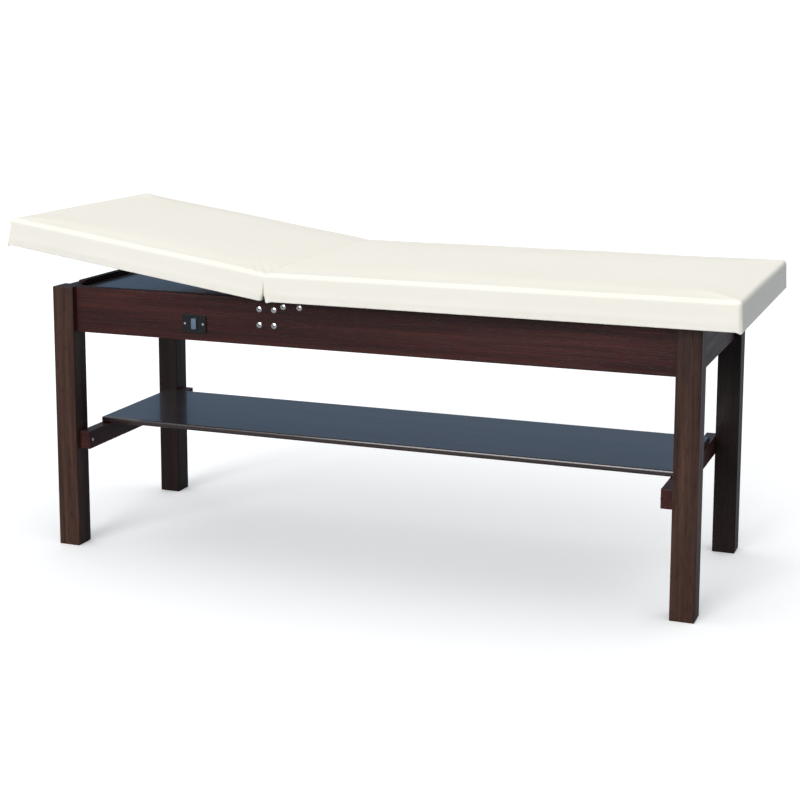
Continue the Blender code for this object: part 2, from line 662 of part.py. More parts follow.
# ---------------------------------------------------------------- switch
def switch(apron, black, grey, chrome):
    """A plate on the apron, a housing through it, and a rocker on a cross axis between them."""
    face = -APRON_FACE - GAP
    front = face - SWITCH_PLATE
    half_width, half_height = SWITCH_WIDTH / 2, SWITCH_HEIGHT / 2
    low = (SWITCH_AT - half_width, SWITCH_Z - half_height)
    high = (SWITCH_AT + half_width, SWITCH_Z + half_height)
    outline = rounded_rectangle(low, high, SWITCH_CORNER)
    plate = prism("switch_plate", outline, "Y", front, face, black, PLASTIC_ARRIS)
    window_x = ROCKER_WIDTH / 2 + ROCKER_PLAY
    window_z = ROCKER_HEIGHT / 2 + ROCKER_PLAY
    window = block(
        "switch_window",
        (SWITCH_AT - window_x, front - CUT_PAST, SWITCH_Z - window_z),
        (SWITCH_AT + window_x, face + CUT_PAST, SWITCH_Z + window_z),
        black,
    )
    cut(plate, window)
    housing_x, housing_z = window_x + HOUSING_WALL, window_z + HOUSING_WALL
    housing_front = face + GAP
    housing = block(
        "switch_housing",
        (SWITCH_AT - housing_x, housing_front, SWITCH_Z - housing_z),
        (SWITCH_AT + housing_x, housing_front + HOUSING_DEPTH, SWITCH_Z + housing_z),
        black,
        PLASTIC_ARRIS,
    )
    pocket = block(
        "switch_pocket",
        (SWITCH_AT - window_x, housing_front - CUT_PAST, SWITCH_Z - window_z),
        (SWITCH_AT + window_x, front + ROCKER_DEPTH + 2 * ROCKER_PLAY, SWITCH_Z + window_z),
        black,
    )
    cut(housing, pocket)
    hole_x, hole_z = housing_x + HOLE_PLAY, housing_z + HOLE_PLAY
    cutout = block(
        "apron_cutout",
        (SWITCH_AT - hole_x, face - CUT_PAST, SWITCH_Z - hole_z),
        (SWITCH_AT + hole_x, face + RAIL_THICKNESS + 2 * CUT_PAST, SWITCH_Z + hole_z),
        black,
    )
    cut(apron, cutout)
    for side, sx in (("head", -1), ("foot", 1)):
        x = SWITCH_AT + sx * SWITCH_SCREW_SPACING / 2
        sink = SWITCH_PLATE / 2
        start = (x, front - SWITCH_SCREW_PROUD, SWITCH_Z)
        rod(f"switch_screw_{side}", start, (0, 1, 0), SWITCH_SCREW_PROUD + sink, SWITCH_SCREW_RADIUS, chrome)
        drill(plate, (x, front, SWITCH_Z), (0, 1, 0), sink + GAP, SWITCH_SCREW_RADIUS + GAP, chrome, 32)
    rocker(front, grey)


def rocker(front, grey):
    """The rocker, shallow-backed and slightly crowned, with its origin on its axis."""
    half = ROCKER_HEIGHT / 2
    crown = ROCKER_PROUD / 3
    bulge = [
        (half * t, -ROCKER_PROUD - crown * (1 - t * t)) for t in (-1 + 2 * i / 8 for i in range(9))
    ]
    taper = half * ROCKER_TAPER
    profile = [(-taper, ROCKER_DEPTH - ROCKER_PLAY), *bulge, (taper, ROCKER_DEPTH - ROCKER_PLAY)]
    made = bmesh.new()
    left = [made.verts.new((-ROCKER_WIDTH / 2, y, z)) for z, y in profile]
    right = [made.verts.new((ROCKER_WIDTH / 2, y, z)) for z, y in profile]
    made.faces.new(left)
    made.faces.new(reversed(right))
    for i in range(len(profile)):
        j = (i + 1) % len(profile)
        made.faces.new((left[i], right[i], right[j], left[j]))
    knob = finish_object("rocker", made, grey, STEEL_ARRIS)
    knob.location = (SWITCH_AT, front, SWITCH_Z)
    return knob


# ---------------------------------------------------------------- leads
def lead(name, points, rubber):
    """A round lead through hand-placed points, eased at the corners."""
    curve = bpy.data.curves.new(name, "CURVE")
    curve.dimensions = "3D"
    curve.bevel_depth = LEAD_RADIUS
    curve.bevel_resolution = 2
    curve.use_fill_caps = True
    eased = eased_route([Vector(p) for p in points])
    spline = curve.splines.new("POLY")
    spline.points.add(len(eased) - 1)
    for point, place in zip(spline.points, eased):
        point.co = (*place, 1.0)
    made = bpy.data.objects.new(name, curve)
    bpy.context.scene.collection.objects.link(made)
    made.data.materials.append(rubber)
    return made


def eased_route(points, radius=LEAD_BEND, steps=4):
    """The route with each corner turned by a short curve."""
    route = [points[0]]
    for before, corner, after in zip(points, points[1:], points[2:]):
        come = corner + (before - corner).normalized() * radius
        leave = corner + (after - corner).normalized() * radius
        for i in range(steps + 1):
            t = i / steps
            route.append(come * (1 - t) ** 2 + corner * 2 * t * (1 - t) + leave * t * t)
    return route + [points[-1]]


def leads(rubber):
    """From the switch and from the motor to the control box, along the frame's inside."""
    switch_back = -APRON_FACE + HOUSING_DEPTH + GAP
    low = RAIL_BOTTOM + 0.012
    along_front = -APRON_BACK + 0.018
    cross = MOTOR_BACK + 0.03
    box_face = CONTROL_HEAD - GAP
    box_y = APRON_BACK - GAP - CONTROL_DEPTH / 2
    box_bottom = CONTROL_TOP - CONTROL_HEIGHT
    lead(
        "switch_lead",
        [
            (SWITCH_AT, switch_back, SWITCH_Z),
            (SWITCH_AT, switch_back + 0.02, SWITCH_Z),
            (SWITCH_AT + 0.03, switch_back + 0.02, low),
            (SWITCH_AT + 0.08, along_front, low),
            (cross, along_front, low),
            (cross, box_y - 0.01, low),
            (box_face - 0.03, box_y - 0.01, box_bottom + 0.015),
            (box_face, box_y - 0.01, box_bottom + 0.015),
        ],
        rubber,
    )
    lead(
        "motor_lead",
        [
            (MOTOR_BACK + GAP, 0, ROD_Z + 0.012),
            (MOTOR_BACK + 0.03, 0, ROD_Z + 0.012),
            (box_face - 0.03, box_y + 0.01, box_bottom + 0.045),
            (box_face, box_y + 0.01, box_bottom + 0.045),
        ],
        rubber,
    )


# ---------------------------------------------------------------- assembly
def raise_backrest(pieces, lever_pieces):
    """Turns the backrest and its lever about the hinge's axis, from an empty on that axis."""
    turned_groups = (("backrest_axis", BACK_RAISED, pieces), ("lever_axis", LEVER_REST, lever_pieces))
    for name, angle, group in turned_groups:
        axis = bpy.data.objects.new(name, None)
        bpy.context.scene.collection.objects.link(axis)
        axis.location = (AXIS_X, 0, AXIS_Z)
        for piece in group:
            piece.parent = axis
            piece.matrix_parent_inverse = Matrix.Translation((-AXIS_X, 0, -AXIS_Z))
        axis.rotation_euler = (0, angle, 0)


def main():
    for old in list(bpy.data.objects):
        bpy.data.objects.remove(old)
    wood = material("stained_wood", (0.045, 0.016, 0.013), 0.42)
    lacquer = material("lacquered_panel", (0.020, 0.012, 0.014), 0.18)
    plywood = material("plywood", (0.50, 0.36, 0.22), 0.7)
    vinyl = material("ivory_vinyl", (0.86, 0.82, 0.70), 0.45)
    steel = material("zinc_steel", (0.55, 0.56, 0.58), 0.35, 1.0)
    chrome = material("nickel", (0.80, 0.79, 0.76), 0.15, 1.0)
    black = material("black_plastic", (0.012, 0.012, 0.014), 0.3)
    grey = material("rocker_grey", (0.16, 0.21, 0.27), 0.3)
    casing = material("casing_plastic", (0.05, 0.05, 0.055), 0.5)
    rubber = material("rubber", (0.02, 0.02, 0.02), 0.7)

    frame_legs = legs(wood)
    frame_rails = rails(wood)
    frame_bearers = bearers(wood)
    dust_panel(lacquer)
    shelf_and_stretchers(wood, steel, frame_legs)

    pad_section("seat", AXIS_X + SEAM, AXIS_X + SEAT_LENGTH, plywood, vinyl)
    backrest = pad_section("backrest", AXIS_X - SEAM, AXIS_X - BACK_LENGTH, plywood, vinyl)
    bumper_x = FRAME_HEAD + RAIL_SETBACK + RAIL_THICKNESS / 2
    block(
        "bumper_strip",
        (bumper_x - BUMPER_WIDTH / 2, -BUMPER_LENGTH / 2, FRAME_HEIGHT + GAP),
        (bumper_x + BUMPER_WIDTH / 2, BUMPER_LENGTH / 2, PAD_BOTTOM - GAP),
        rubber,
        PLASTIC_ARRIS,
    )

    for side in SIDES:
        plate = hinge_plate(side, steel)
        for number, (x, z) in enumerate(bolt_places(), 1):
            connector_bolt(f"connector_bolt_{side}_{number}", x, z, side, frame_rails[side], plate, chrome)
    backrest += shaft_and_arms(steel)
    raise_backrest(backrest, lift_lever(steel))
    rod_and_head(steel, chrome)
    actuator(steel, casing, frame_bearers)
    control_box(casing, rubber)
    switch(frame_rails["front"], black, grey, chrome)
    leads(rubber)


main()
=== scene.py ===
"""Looks for the wooden examination table: upholstery, wood, metal and plastic over the fixed frame."""
import json
import math
from types import SimpleNamespace

import bmesh
import bpy
import numpy as np
from mathutils import Matrix, Vector


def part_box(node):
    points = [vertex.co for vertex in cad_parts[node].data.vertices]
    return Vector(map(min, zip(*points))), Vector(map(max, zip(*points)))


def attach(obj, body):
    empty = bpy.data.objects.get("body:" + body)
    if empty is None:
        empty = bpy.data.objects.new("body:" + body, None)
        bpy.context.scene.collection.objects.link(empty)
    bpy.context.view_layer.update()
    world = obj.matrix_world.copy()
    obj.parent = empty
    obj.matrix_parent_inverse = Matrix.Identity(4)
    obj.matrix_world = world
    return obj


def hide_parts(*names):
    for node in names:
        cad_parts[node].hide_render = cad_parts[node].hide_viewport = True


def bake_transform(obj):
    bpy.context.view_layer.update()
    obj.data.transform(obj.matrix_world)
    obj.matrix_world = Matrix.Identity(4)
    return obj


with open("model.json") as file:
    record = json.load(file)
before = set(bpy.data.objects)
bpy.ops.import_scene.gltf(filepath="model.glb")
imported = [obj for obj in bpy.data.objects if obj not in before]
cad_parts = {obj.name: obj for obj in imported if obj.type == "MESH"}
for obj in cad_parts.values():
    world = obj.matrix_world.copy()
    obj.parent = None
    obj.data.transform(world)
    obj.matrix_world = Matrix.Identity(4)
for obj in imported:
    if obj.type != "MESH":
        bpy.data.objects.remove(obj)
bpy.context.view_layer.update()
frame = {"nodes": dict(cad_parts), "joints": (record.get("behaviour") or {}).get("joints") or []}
nodes = frame["nodes"]


# ---------------------------------------------------------------- places read from the frame
def joint(name):
    return next(j for j in frame["joints"] if j["name"] == name)


HINGE = Vector(joint("backrest_hinge")["pos_m"])
RAISED = -math.radians(joint("backrest_hinge")["range_deg"][0])
SEAT_LOW, SEAT_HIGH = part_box("seat_cushion")
PAD_HALF = SEAT_HIGH.y
PAD_BOTTOM = SEAT_LOW.z
PAD_TOP = SEAT_HIGH.z
FOOT_END = SEAT_HIGH.x
TURN = Matrix.Translation(HINGE) @ Matrix.Rotation(RAISED, 4, "Y") @ Matrix.Translation(-HINGE)
FLAT_HEAD = min((TURN.inverted() @ v.co).x for v in nodes["backrest_cushion"].data.vertices)
BOARD_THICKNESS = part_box("seat_board")[1].z - PAD_BOTTOM


# ---------------------------------------------------------------- node helpers
class Tree:
    """Short ways to add and link nodes in one node tree."""

    def __init__(self, tree):
        self.tree = tree

    def add(self, kind, **settings):
        node = self.tree.nodes.new(kind)
        for key, value in settings.items():
            setattr(node, key, value)
        return node

    def link(self, source, target):
        self.tree.links.new(source, target)

    def put(self, target, value):
        """Links an output socket, or sets a plain value."""
        if isinstance(value, bpy.types.NodeSocket):
            self.link(value, target)
        elif isinstance(value, tuple) and len(value) == 3 and target.type == "RGBA":
            target.default_value = (*value, 1.0)
        else:
            target.default_value = value

    def math(self, operation, first, second=0.0, clamp=False):
        node = self.add("ShaderNodeMath", operation=operation, use_clamp=clamp)
        self.put(node.inputs[0], first)
        self.put(node.inputs[1], second)
        return node.outputs[0]

    def times(self, first, second):
        return self.math("MULTIPLY", first, second)

    def plus(self, first, second):
        return self.math("ADD", first, second)

    def noise(self, vector, scale, detail=4.0, roughness=0.55, distortion=0.0):
        node = self.add("ShaderNodeTexNoise")
        self.put(node.inputs["Vector"], vector)
        self.put(node.inputs["Scale"], scale)
        self.put(node.inputs["Detail"], detail)
        self.put(node.inputs["Roughness"], roughness)
        self.put(node.inputs["Distortion"], distortion)
        return node.outputs["Fac"]

    def ramp(self, factor, *stops):
        """A grey ramp through (position, value) stops."""
        node = self.add("ShaderNodeValToRGB")
        band = node.color_ramp
        while len(band.elements) < len(stops):
            band.elements.new(0.5)
        for element, (position, value) in zip(band.elements, stops):
            element.position = position
            element.color = (value, value, value, 1.0)
        self.put(node.inputs["Fac"], factor)
        return node.outputs["Color"]

    def mix(self, factor, first, second, blend="MIX"):
        node = self.add("ShaderNodeMix", data_type="RGBA", blend_type=blend)
        self.put(node.inputs["Factor"], factor)
        self.put(node.inputs["A"], first)
        self.put(node.inputs["B"], second)
        return node.outputs["Result"]

    def stretch(self, vector, scale, turn=(0.0, 0.0, 0.0), shift=(0.0, 0.0, 0.0)):
        node = self.add("ShaderNodeMapping")
        self.put(node.inputs["Vector"], vector)
        node.inputs["Scale"].default_value = scale
        node.inputs["Rotation"].default_value = turn
        node.inputs["Location"].default_value = shift
        return node.outputs["Vector"]

    def place(self):
        return self.add("ShaderNodeTexCoord").outputs["Object"]

    def bump(self, height, strength, distance):
        node = self.add("ShaderNodeBump")
        self.put(node.inputs["Height"], height)
        node.inputs["Strength"].default_value = strength
        node.inputs["Distance"].default_value = distance
        return node.outputs["Normal"]

    def group(self, made, **values):
        """Adds a node group and gives its outputs in their order."""
        node = self.add("ShaderNodeGroup")
        node.node_tree = made
        for key, value in values.items():
            self.put(node.inputs[key], value)
        return node.outputs

    def surface(self, shader, colour, rough, height, strength, distance):
        self.put(shader.inputs["Base Color"], colour)
        self.put(shader.inputs["Roughness"], rough)
        self.put(shader.inputs["Normal"], self.bump(height, strength, distance))


def new_group(name, inputs, outputs):
    """A node group with float inputs given as {name: default}, a Vector input and float outputs."""
    made = bpy.data.node_groups.new(name, "ShaderNodeTree")
    made.interface.new_socket(name="Vector", in_out="INPUT", socket_type="NodeSocketVector")
    for key, value in inputs.items():
        socket = made.interface.new_socket(name=key, in_out="INPUT", socket_type="NodeSocketFloat")
        socket.default_value = value
    for key in outputs:
        made.interface.new_socket(name=key, in_out="OUTPUT", socket_type="NodeSocketFloat")
    tree = Tree(made)
    return made, tree, tree.add("NodeGroupInput"), tree.add("NodeGroupOutput")


# ---------------------------------------------------------------- shared effects
def wood_figure_group():
    """Grain along X: broad figure, narrow streaks and short open pores."""
    outputs = ("Figure", "Streaks", "Pores")
    made, tree, inside, outside = new_group("wood_figure", {"Fineness": 1.0}, outputs)
    vector = inside.outputs["Vector"]
    wander = tree.noise(tree.stretch(vector, (0.9, 3.0, 3.0)), 1.0, 2.0)
    drift = tree.add("ShaderNodeVectorMath", operation="SCALE")
    tree.link(vector, drift.inputs[0])
    tree.put(drift.inputs["Scale"], tree.plus(0.97, tree.times(wander, 0.06)))
    grain = drift.outputs["Vector"]
    fineness = inside.outputs["Fineness"]
    broad = tree.noise(tree.stretch(grain, (1.1, 17.0, 17.0)), fineness, 3.0, 0.5, 0.6)
    narrow = tree.noise(tree.stretch(grain, (2.6, 95.0, 95.0)), fineness, 5.0, 0.62, 0.3)
    short = tree.noise(tree.stretch(grain, (26.0, 520.0, 520.0)), fineness, 2.0, 0.5)
    tree.link(tree.ramp(broad, (0.32, 0.0), (0.68, 1.0)), outside.inputs["Figure"])
    tree.link(tree.ramp(narrow, (0.36, 0.0), (0.66, 1.0)), outside.inputs["Streaks"])
    tree.link(tree.ramp(short, (0.56, 0.0), (0.66, 1.0)), outside.inputs["Pores"])
    return made


def edge_wear_and_highlight_group():
    """1 on edges: edge wear, and on the stained wood also a painted highlight along the arrises. It
    compares the surface with one whose edges are rounder.
    """
    made, tree, inside, outside = new_group("edge_wear_and_highlight", {"Radius": 0.002, "Amount": 1.0}, ("WearAndHighlight",))
    rounder = tree.add("ShaderNodeBevel", samples=6)
    tree.link(inside.outputs["Radius"], rounder.inputs["Radius"])
    straight = tree.add("ShaderNodeNewGeometry")
    dot = tree.add("ShaderNodeVectorMath", operation="DOT_PRODUCT")
    tree.link(rounder.outputs["Normal"], dot.inputs[0])
    tree.link(straight.outputs["Normal"], dot.inputs[1])
    edge = tree.ramp(dot.outputs["Value"], (0.80, 1.0), (0.985, 0.0))
    patches = tree.ramp(tree.noise(inside.outputs["Vector"], 38.0, 5.0, 0.65), (0.40, 0.0), (0.62, 1.0))
    worn = tree.math("MULTIPLY", tree.math("MULTIPLY", edge, patches), inside.outputs["Amount"], clamp=True)
    tree.link(worn, outside.inputs["WearAndHighlight"])
    return made


def fine_grain_group():
    """Small even texture of moulded or brushed surfaces, and slow changes of shade over it."""
    made, tree, inside, outside = new_group("fine_grain", {"Size": 900.0}, ("Grain", "Shade"))
    vector = inside.outputs["Vector"]
    tree.link(tree.noise(vector, inside.outputs["Size"], 3.0, 0.6), outside.inputs["Grain"])
    tree.link(tree.noise(vector, 9.0, 3.0, 0.5), outside.inputs["Shade"])
    return made


def settled_dust_group():
    """Thin dust on faces that look up, thinner where it has been wiped."""
    made, tree, inside, outside = new_group("settled_dust", {"Amount": 0.3}, ("Dust",))
    normal = tree.add("ShaderNodeTexCoord").outputs["Normal"]
    split = tree.add("ShaderNodeSeparateXYZ")
    tree.link(normal, split.inputs[0])
    up = tree.ramp(split.outputs["Z"], (0.75, 0.0), (1.0, 1.0))
    wiped = tree.ramp(tree.noise(inside.outputs["Vector"], 4.5, 6.0, 0.6, 0.8), (0.38, 0.15), (0.70, 1.0))
    speck = tree.ramp(tree.noise(inside.outputs["Vector"], 700.0, 1.0), (0.60, 0.3), (0.72, 1.0))
    dust = tree.times(tree.times(up, wiped), speck)
    tree.link(tree.math("MULTIPLY", dust, inside.outputs["Amount"], clamp=True), outside.inputs["Dust"])
    return made


def recess_painted_shade_group():
    """1 deep inside sockets and narrow gaps, where little light gets in; the metal paints shade there with
    it.
    """
    made, tree, inside, outside = new_group("recess_painted_shade", {"Reach": 0.003}, ("Depth",))
    open_share = tree.add("ShaderNodeAmbientOcclusion", samples=8, only_local=True)
    tree.link(inside.outputs["Reach"], open_share.inputs["Distance"])
    tree.link(tree.ramp(open_share.outputs["AO"], (0.62, 1.0), (0.92, 0.0)), outside.inputs["Depth"])
    return made


FIGURE = wood_figure_group()
WEAR_AND_HIGHLIGHT = edge_wear_and_highlight_group()
GRAIN = fine_grain_group()
DUST = settled_dust_group()
RECESS_PAINTED_SHADE = recess_painted_shade_group()
ALONG_X = (0.0, 0.0, 0.0)
ALONG_Y = (0.0, 0.0, math.radians(90))
ALONG_Z = (0.0, math.radians(90), 0.0)


# ---------------------------------------------------------------- colours
WENGE_DARK = (0.030, 0.0065, 0.0056)
WENGE_LIGHT = (0.076, 0.0205, 0.0165)
LEG_DARK = (0.028, 0.0105, 0.0075)
LEG_LIGHT = (0.086, 0.041, 0.027)
# The rear legs' stain, darkened as painted shade for the shadow that falls on them
PAINTED_SHADE_REAR_LEG_DARK = (0.011, 0.0050, 0.0042)
PAINTED_SHADE_REAR_LEG_LIGHT = (0.028, 0.0130, 0.0100)
LACQUER_DARK = (0.016, 0.009, 0.010)
LACQUER_LIGHT = (0.034, 0.018, 0.017)
LACQUER_WORN = (0.20, 0.12, 0.08)
PORE_DARK = (0.004, 0.002, 0.002)
DUST_GREY = (0.42, 0.43, 0.42)
IVORY = (0.865, 0.825, 0.725)
IVORY_LIGHT = (0.895, 0.862, 0.775)
IVORY_YELLOWED = (0.80, 0.76, 0.66)
GRAIN_SHADE = (0.62, 0.57, 0.47)
# Painted shade for the cover's folds and creases, and near black for the seam's notch
FOLD_PAINTED_SHADE = (0.30, 0.26, 0.20)
SEAM_PAINTED_SHADE = (0.012, 0.010, 0.009)
# Painted shade, put deep in the metal's sockets and narrow gaps
PAINTED_RECESS_SHADE = (0.010, 0.009, 0.008)
PLIES_PER_METRE = 320.0


# ---------------------------------------------------------------- materials
def new_material(name, **settings):
    """A material and its Principled shader, with plain values set on the shader's own sockets."""
    made = bpy.data.materials.new(name)
    made.use_nodes = True
    tree = Tree(made.node_tree)
    shader = made.node_tree.nodes["Principled BSDF"]
    for key, value in settings.items():
        tree.put(shader.inputs[key.replace("_", " ")], value)
    return made, tree, shader


def stained_wood(name, turn, dark, light, roughness=0.33, shift=(0.0, 0.0, 0.0)):
    """Dark stained hardwood under satin lacquer, its grain running the way that turn gives. Its edges are
    lighter: bare wood where worn, and a painted highlight along the arrises.
    """
    made, tree, shader = new_material(
        name, Specular_IOR_Level=0.18, Coat_Weight=0.05, Coat_Roughness=0.22, Coat_IOR=1.5
    )
    place = tree.place()
    board = tree.stretch(place, (1.0, 1.0, 1.0), turn, shift)
    figure, streaks, pores = tree.group(FIGURE, Vector=board)
    wear = tree.group(WEAR_AND_HIGHLIGHT, Vector=place, Radius=0.0022, Amount=0.8)[0]
    colour = tree.mix(figure, dark, light)
    colour = tree.mix(tree.times(streaks, 0.62), colour, tuple(c * 0.42 for c in dark))
    colour = tree.mix(tree.times(pores, 0.5), colour, PORE_DARK)
    # Lighter edges: bare wood where worn, and a painted highlight along the arrises
    bare_and_highlight = tuple(min(1.0, c * 2.6 + 0.02) for c in light)
    colour = tree.mix(tree.times(wear, 0.55), colour, bare_and_highlight)
    rough = tree.plus(tree.plus(roughness, tree.times(streaks, 0.10)), tree.times(wear, 0.18))
    height = tree.math("SUBTRACT", streaks, tree.times(pores, 1.5))
    tree.surface(shader, colour, rough, height, 0.35, 0.00035)
    return made


def lacquered_board(name, dusty):
    """A veneered board under thick clear lacquer, with fine wiping marks and a little dust."""
    made, tree, shader = new_material(
        name, Specular_IOR_Level=0.4, Coat_Weight=0.7, Coat_Roughness=0.10, Coat_IOR=1.5
    )
    place = tree.place()
    figure, streaks, _ = tree.group(FIGURE, Vector=place, Fineness=0.8)
    wear = tree.group(WEAR_AND_HIGHLIGHT, Vector=place, Radius=0.0018, Amount=0.9)[0]
    dust = tree.group(DUST, Vector=place, Amount=dusty)[0]
    colour = tree.mix(figure, LACQUER_DARK, LACQUER_LIGHT)
    colour = tree.mix(tree.times(streaks, 0.5), colour, tuple(c * 0.5 for c in LACQUER_DARK))
    colour = tree.mix(tree.times(wear, 0.7), colour, LACQUER_WORN)
    colour = tree.mix(dust, colour, DUST_GREY)
    wiped = tree.noise(tree.stretch(place, (3.0, 28.0, 3.0)), 1.0, 5.0, 0.6, 1.2)
    rough = tree.plus(tree.plus(0.24, tree.times(wiped, 0.12)), tree.times(dust, 0.8))
    ripple = tree.plus(tree.noise(place, 6.0, 2.0), tree.times(streaks, 0.06))
    tree.surface(shader, colour, rough, ripple, 0.10, 0.0012)
    return made


def upholstery_vinyl():
    """Ivory vinyl: pebbled fine grain, slow shade changes, and painted shade in folds, creases and along
    seams.
    """
    made, tree, shader = new_material("ivory_vinyl", Specular_IOR_Level=0.18, Sheen_Weight=0.03)
    place = tree.place()
    pebbles = tree.add("ShaderNodeTexVoronoi", feature="DISTANCE_TO_EDGE")
    pebbles.inputs["Scale"].default_value = 620.0
    ripple = tree.add("ShaderNodeTexNoise")
    ripple.inputs["Scale"].default_value = 260.0
    tree.link(place, ripple.inputs["Vector"])
    small = tree.add("ShaderNodeVectorMath", operation="SCALE")
    tree.link(ripple.outputs["Color"], small.inputs[0])
    small.inputs["Scale"].default_value = 0.0016
    warped = tree.add("ShaderNodeVectorMath", operation="ADD")
    tree.link(place, warped.inputs[0])
    tree.link(small.outputs["Vector"], warped.inputs[1])
    tree.link(warped.outputs["Vector"], pebbles.inputs["Vector"])
    grain = tree.ramp(pebbles.outputs["Distance"], (0.0, 0.0), (0.22, 1.0))
    shade = tree.noise(place, 3.2, 4.0, 0.5)
    blotch = tree.noise(place, 21.0, 4.0, 0.6)
    painted_fold_shade = tree.add("ShaderNodeAttribute", attribute_name="painted_fold_shade").outputs["Fac"]
    colour = tree.mix(shade, IVORY, IVORY_LIGHT)
    colour = tree.mix(tree.times(blotch, 0.10), colour, IVORY_YELLOWED)
    between = tree.math("SUBTRACT", 1.0, grain)
    colour = tree.mix(tree.times(between, 0.10), colour, GRAIN_SHADE)
    # Painted shade from the attribute that shape_folds stores: greyer in folds and creases, near black in
    # the seam's notch
    colour = tree.mix(tree.math("MULTIPLY", painted_fold_shade, 0.75, clamp=True), colour, FOLD_PAINTED_SHADE)
    colour = tree.mix(tree.ramp(painted_fold_shade, (0.70, 0.0), (0.92, 1.0)), colour, SEAM_PAINTED_SHADE)
    rough = tree.plus(0.50, tree.times(blotch, 0.12))
    stretch = tree.noise(tree.stretch(place, (14.0, 9.0, 14.0)), 1.0, 3.0, 0.5, 0.4)
    height = tree.plus(tree.times(grain, 0.10), tree.times(stretch, 0.9))
    tree.surface(shader, colour, rough, height, 0.22, 0.0012)
    return made


def metal(name, colour, roughness, brushed=0.0):
    """Plated or bare metal with fine scratches, duller patches, and painted shade in its sockets and narrow
    gaps.
    """
    made, tree, shader = new_material(name, Metallic=1.0)
    place = tree.place()
    lengthwise = tree.stretch(place, (1.0, 1.0, 0.06 if brushed else 1.0))
    grain, patches = tree.group(GRAIN, Vector=lengthwise, Size=1400.0)
    wear = tree.group(WEAR_AND_HIGHLIGHT, Vector=place, Radius=0.0008, Amount=0.8)[0]
    shade = tree.ramp(patches, (0.35, 0.0), (0.65, 1.0))
    plated = tree.mix(shade, colour, tuple(c * 0.78 for c in colour))
    plated = tree.mix(wear, plated, tuple(min(1.0, c * 1.15) for c in colour))
    # Painted shade: near black deep in sockets and narrow gaps
    deep = tree.group(RECESS_PAINTED_SHADE, Vector=place, Reach=0.006)[0]
    plated = tree.mix(tree.times(deep, 0.92), plated, PAINTED_RECESS_SHADE)
    rough = tree.plus(roughness, tree.times(grain, 0.10 + brushed))
    rough = tree.plus(rough, tree.times(shade, 0.06))
    tree.surface(shader, plated, rough, grain, 0.08 + brushed, 0.0002)
    return made


def moulded(name, colour, roughness, texture=0.2, worn=(0.18, 0.18, 0.19)):
    """Moulded plastic or rubber: fine texture, rubbed edges, a trace of dust."""
    made, tree, shader = new_material(name, Specular_IOR_Level=0.4)
    place = tree.place()
    grain, patches = tree.group(GRAIN, Vector=place, Size=1100.0)
    wear = tree.group(WEAR_AND_HIGHLIGHT, Vector=place, Radius=0.0009, Amount=0.7)[0]
    dust = tree.group(DUST, Vector=place, Amount=0.25)[0]
    shade = tree.ramp(patches, (0.3, 0.0), (0.7, 1.0))
    tinted = tree.mix(shade, colour, tuple(c * 1.25 + 0.002 for c in colour))
    tinted = tree.mix(tree.times(wear, 0.35), tinted, worn)
    tinted = tree.mix(dust, tinted, (0.35, 0.34, 0.32))
    rough = tree.plus(tree.plus(roughness, tree.times(grain, 0.12)), tree.times(dust, 0.5))
    tree.surface(shader, tinted, rough, grain, texture, 0.0003)
    return made


def plywood_board(name, lean):
    """Pale birch plywood on a board that leans: faces with soft figure, edges with thin plies."""
    made, tree, shader = new_material(name, Specular_IOR_Level=0.3)
    place = tree.stretch(tree.place(), (1.0, 1.0, 1.0), (0.0, -lean, 0.0))
    figure, streaks, _ = tree.group(FIGURE, Vector=place, Fineness=0.6)
    split = tree.add("ShaderNodeSeparateXYZ")
    tree.link(tree.add("ShaderNodeTexCoord").outputs["Normal"], split.inputs[0])
    side = tree.ramp(tree.math("ABSOLUTE", split.outputs["Z"]), (0.5, 1.0), (0.8, 0.0))
    height = tree.add("ShaderNodeSeparateXYZ")
    tree.link(place, height.inputs[0])
    plies = tree.math("FRACT", tree.times(height.outputs["Z"], PLIES_PER_METRE))
    plies = tree.ramp(plies, (0.42, 0.0), (0.58, 1.0))
    colour = tree.mix(figure, (0.52, 0.37, 0.22), (0.62, 0.46, 0.29))
    colour = tree.mix(tree.times(streaks, 0.35), colour, (0.40, 0.26, 0.14))
    colour = tree.mix(tree.times(tree.times(side, plies), 0.6), colour, (0.26, 0.15, 0.08))
    tree.surface(shader, colour, tree.plus(0.58, tree.times(streaks, 0.18)), streaks, 0.25, 0.0003)
    return made


wood_x = stained_wood("stained_wood_rails", ALONG_X, WENGE_DARK, WENGE_LIGHT)
wood_y = stained_wood("stained_wood_cross", ALONG_Y, WENGE_DARK, WENGE_LIGHT, shift=(0.4, 0.2, 0.1))
wood_z = stained_wood("stained_wood_legs", ALONG_Z, LEG_DARK, LEG_LIGHT, 0.36, (0.1, 0.7, 0.3))
# The rear legs get a darker copy of the leg wood: painted shade
wood_rear_painted_shade = stained_wood(
    "stained_wood_rear_legs_painted_shade", ALONG_Z, PAINTED_SHADE_REAR_LEG_DARK, PAINTED_SHADE_REAR_LEG_LIGHT, 0.36, (0.3, 0.1, 0.6)
)
shelf_board = lacquered_board("lacquered_shelf", 0.05)
panel_board = lacquered_board("lacquered_panel", 0.12)
vinyl = upholstery_vinyl()
seat_plywood = plywood_board("seat_plywood", 0.0)
back_plywood = plywood_board("backrest_plywood", RAISED)
zinc = metal("zinc_steel", (0.56, 0.57, 0.58), 0.30, 0.12)
nickel = metal("nickel", (0.86, 0.84, 0.80), 0.13)
black_plastic = moulded("black_plastic", (0.0045, 0.0045, 0.0055), 0.22, 0.08, (0.06, 0.06, 0.065))
rocker_grey = moulded("rocker_grey", (0.10, 0.145, 0.20), 0.28, 0.05, (0.25, 0.28, 0.32))
casing = moulded("casing_plastic", (0.045, 0.046, 0.050), 0.48, 0.3)
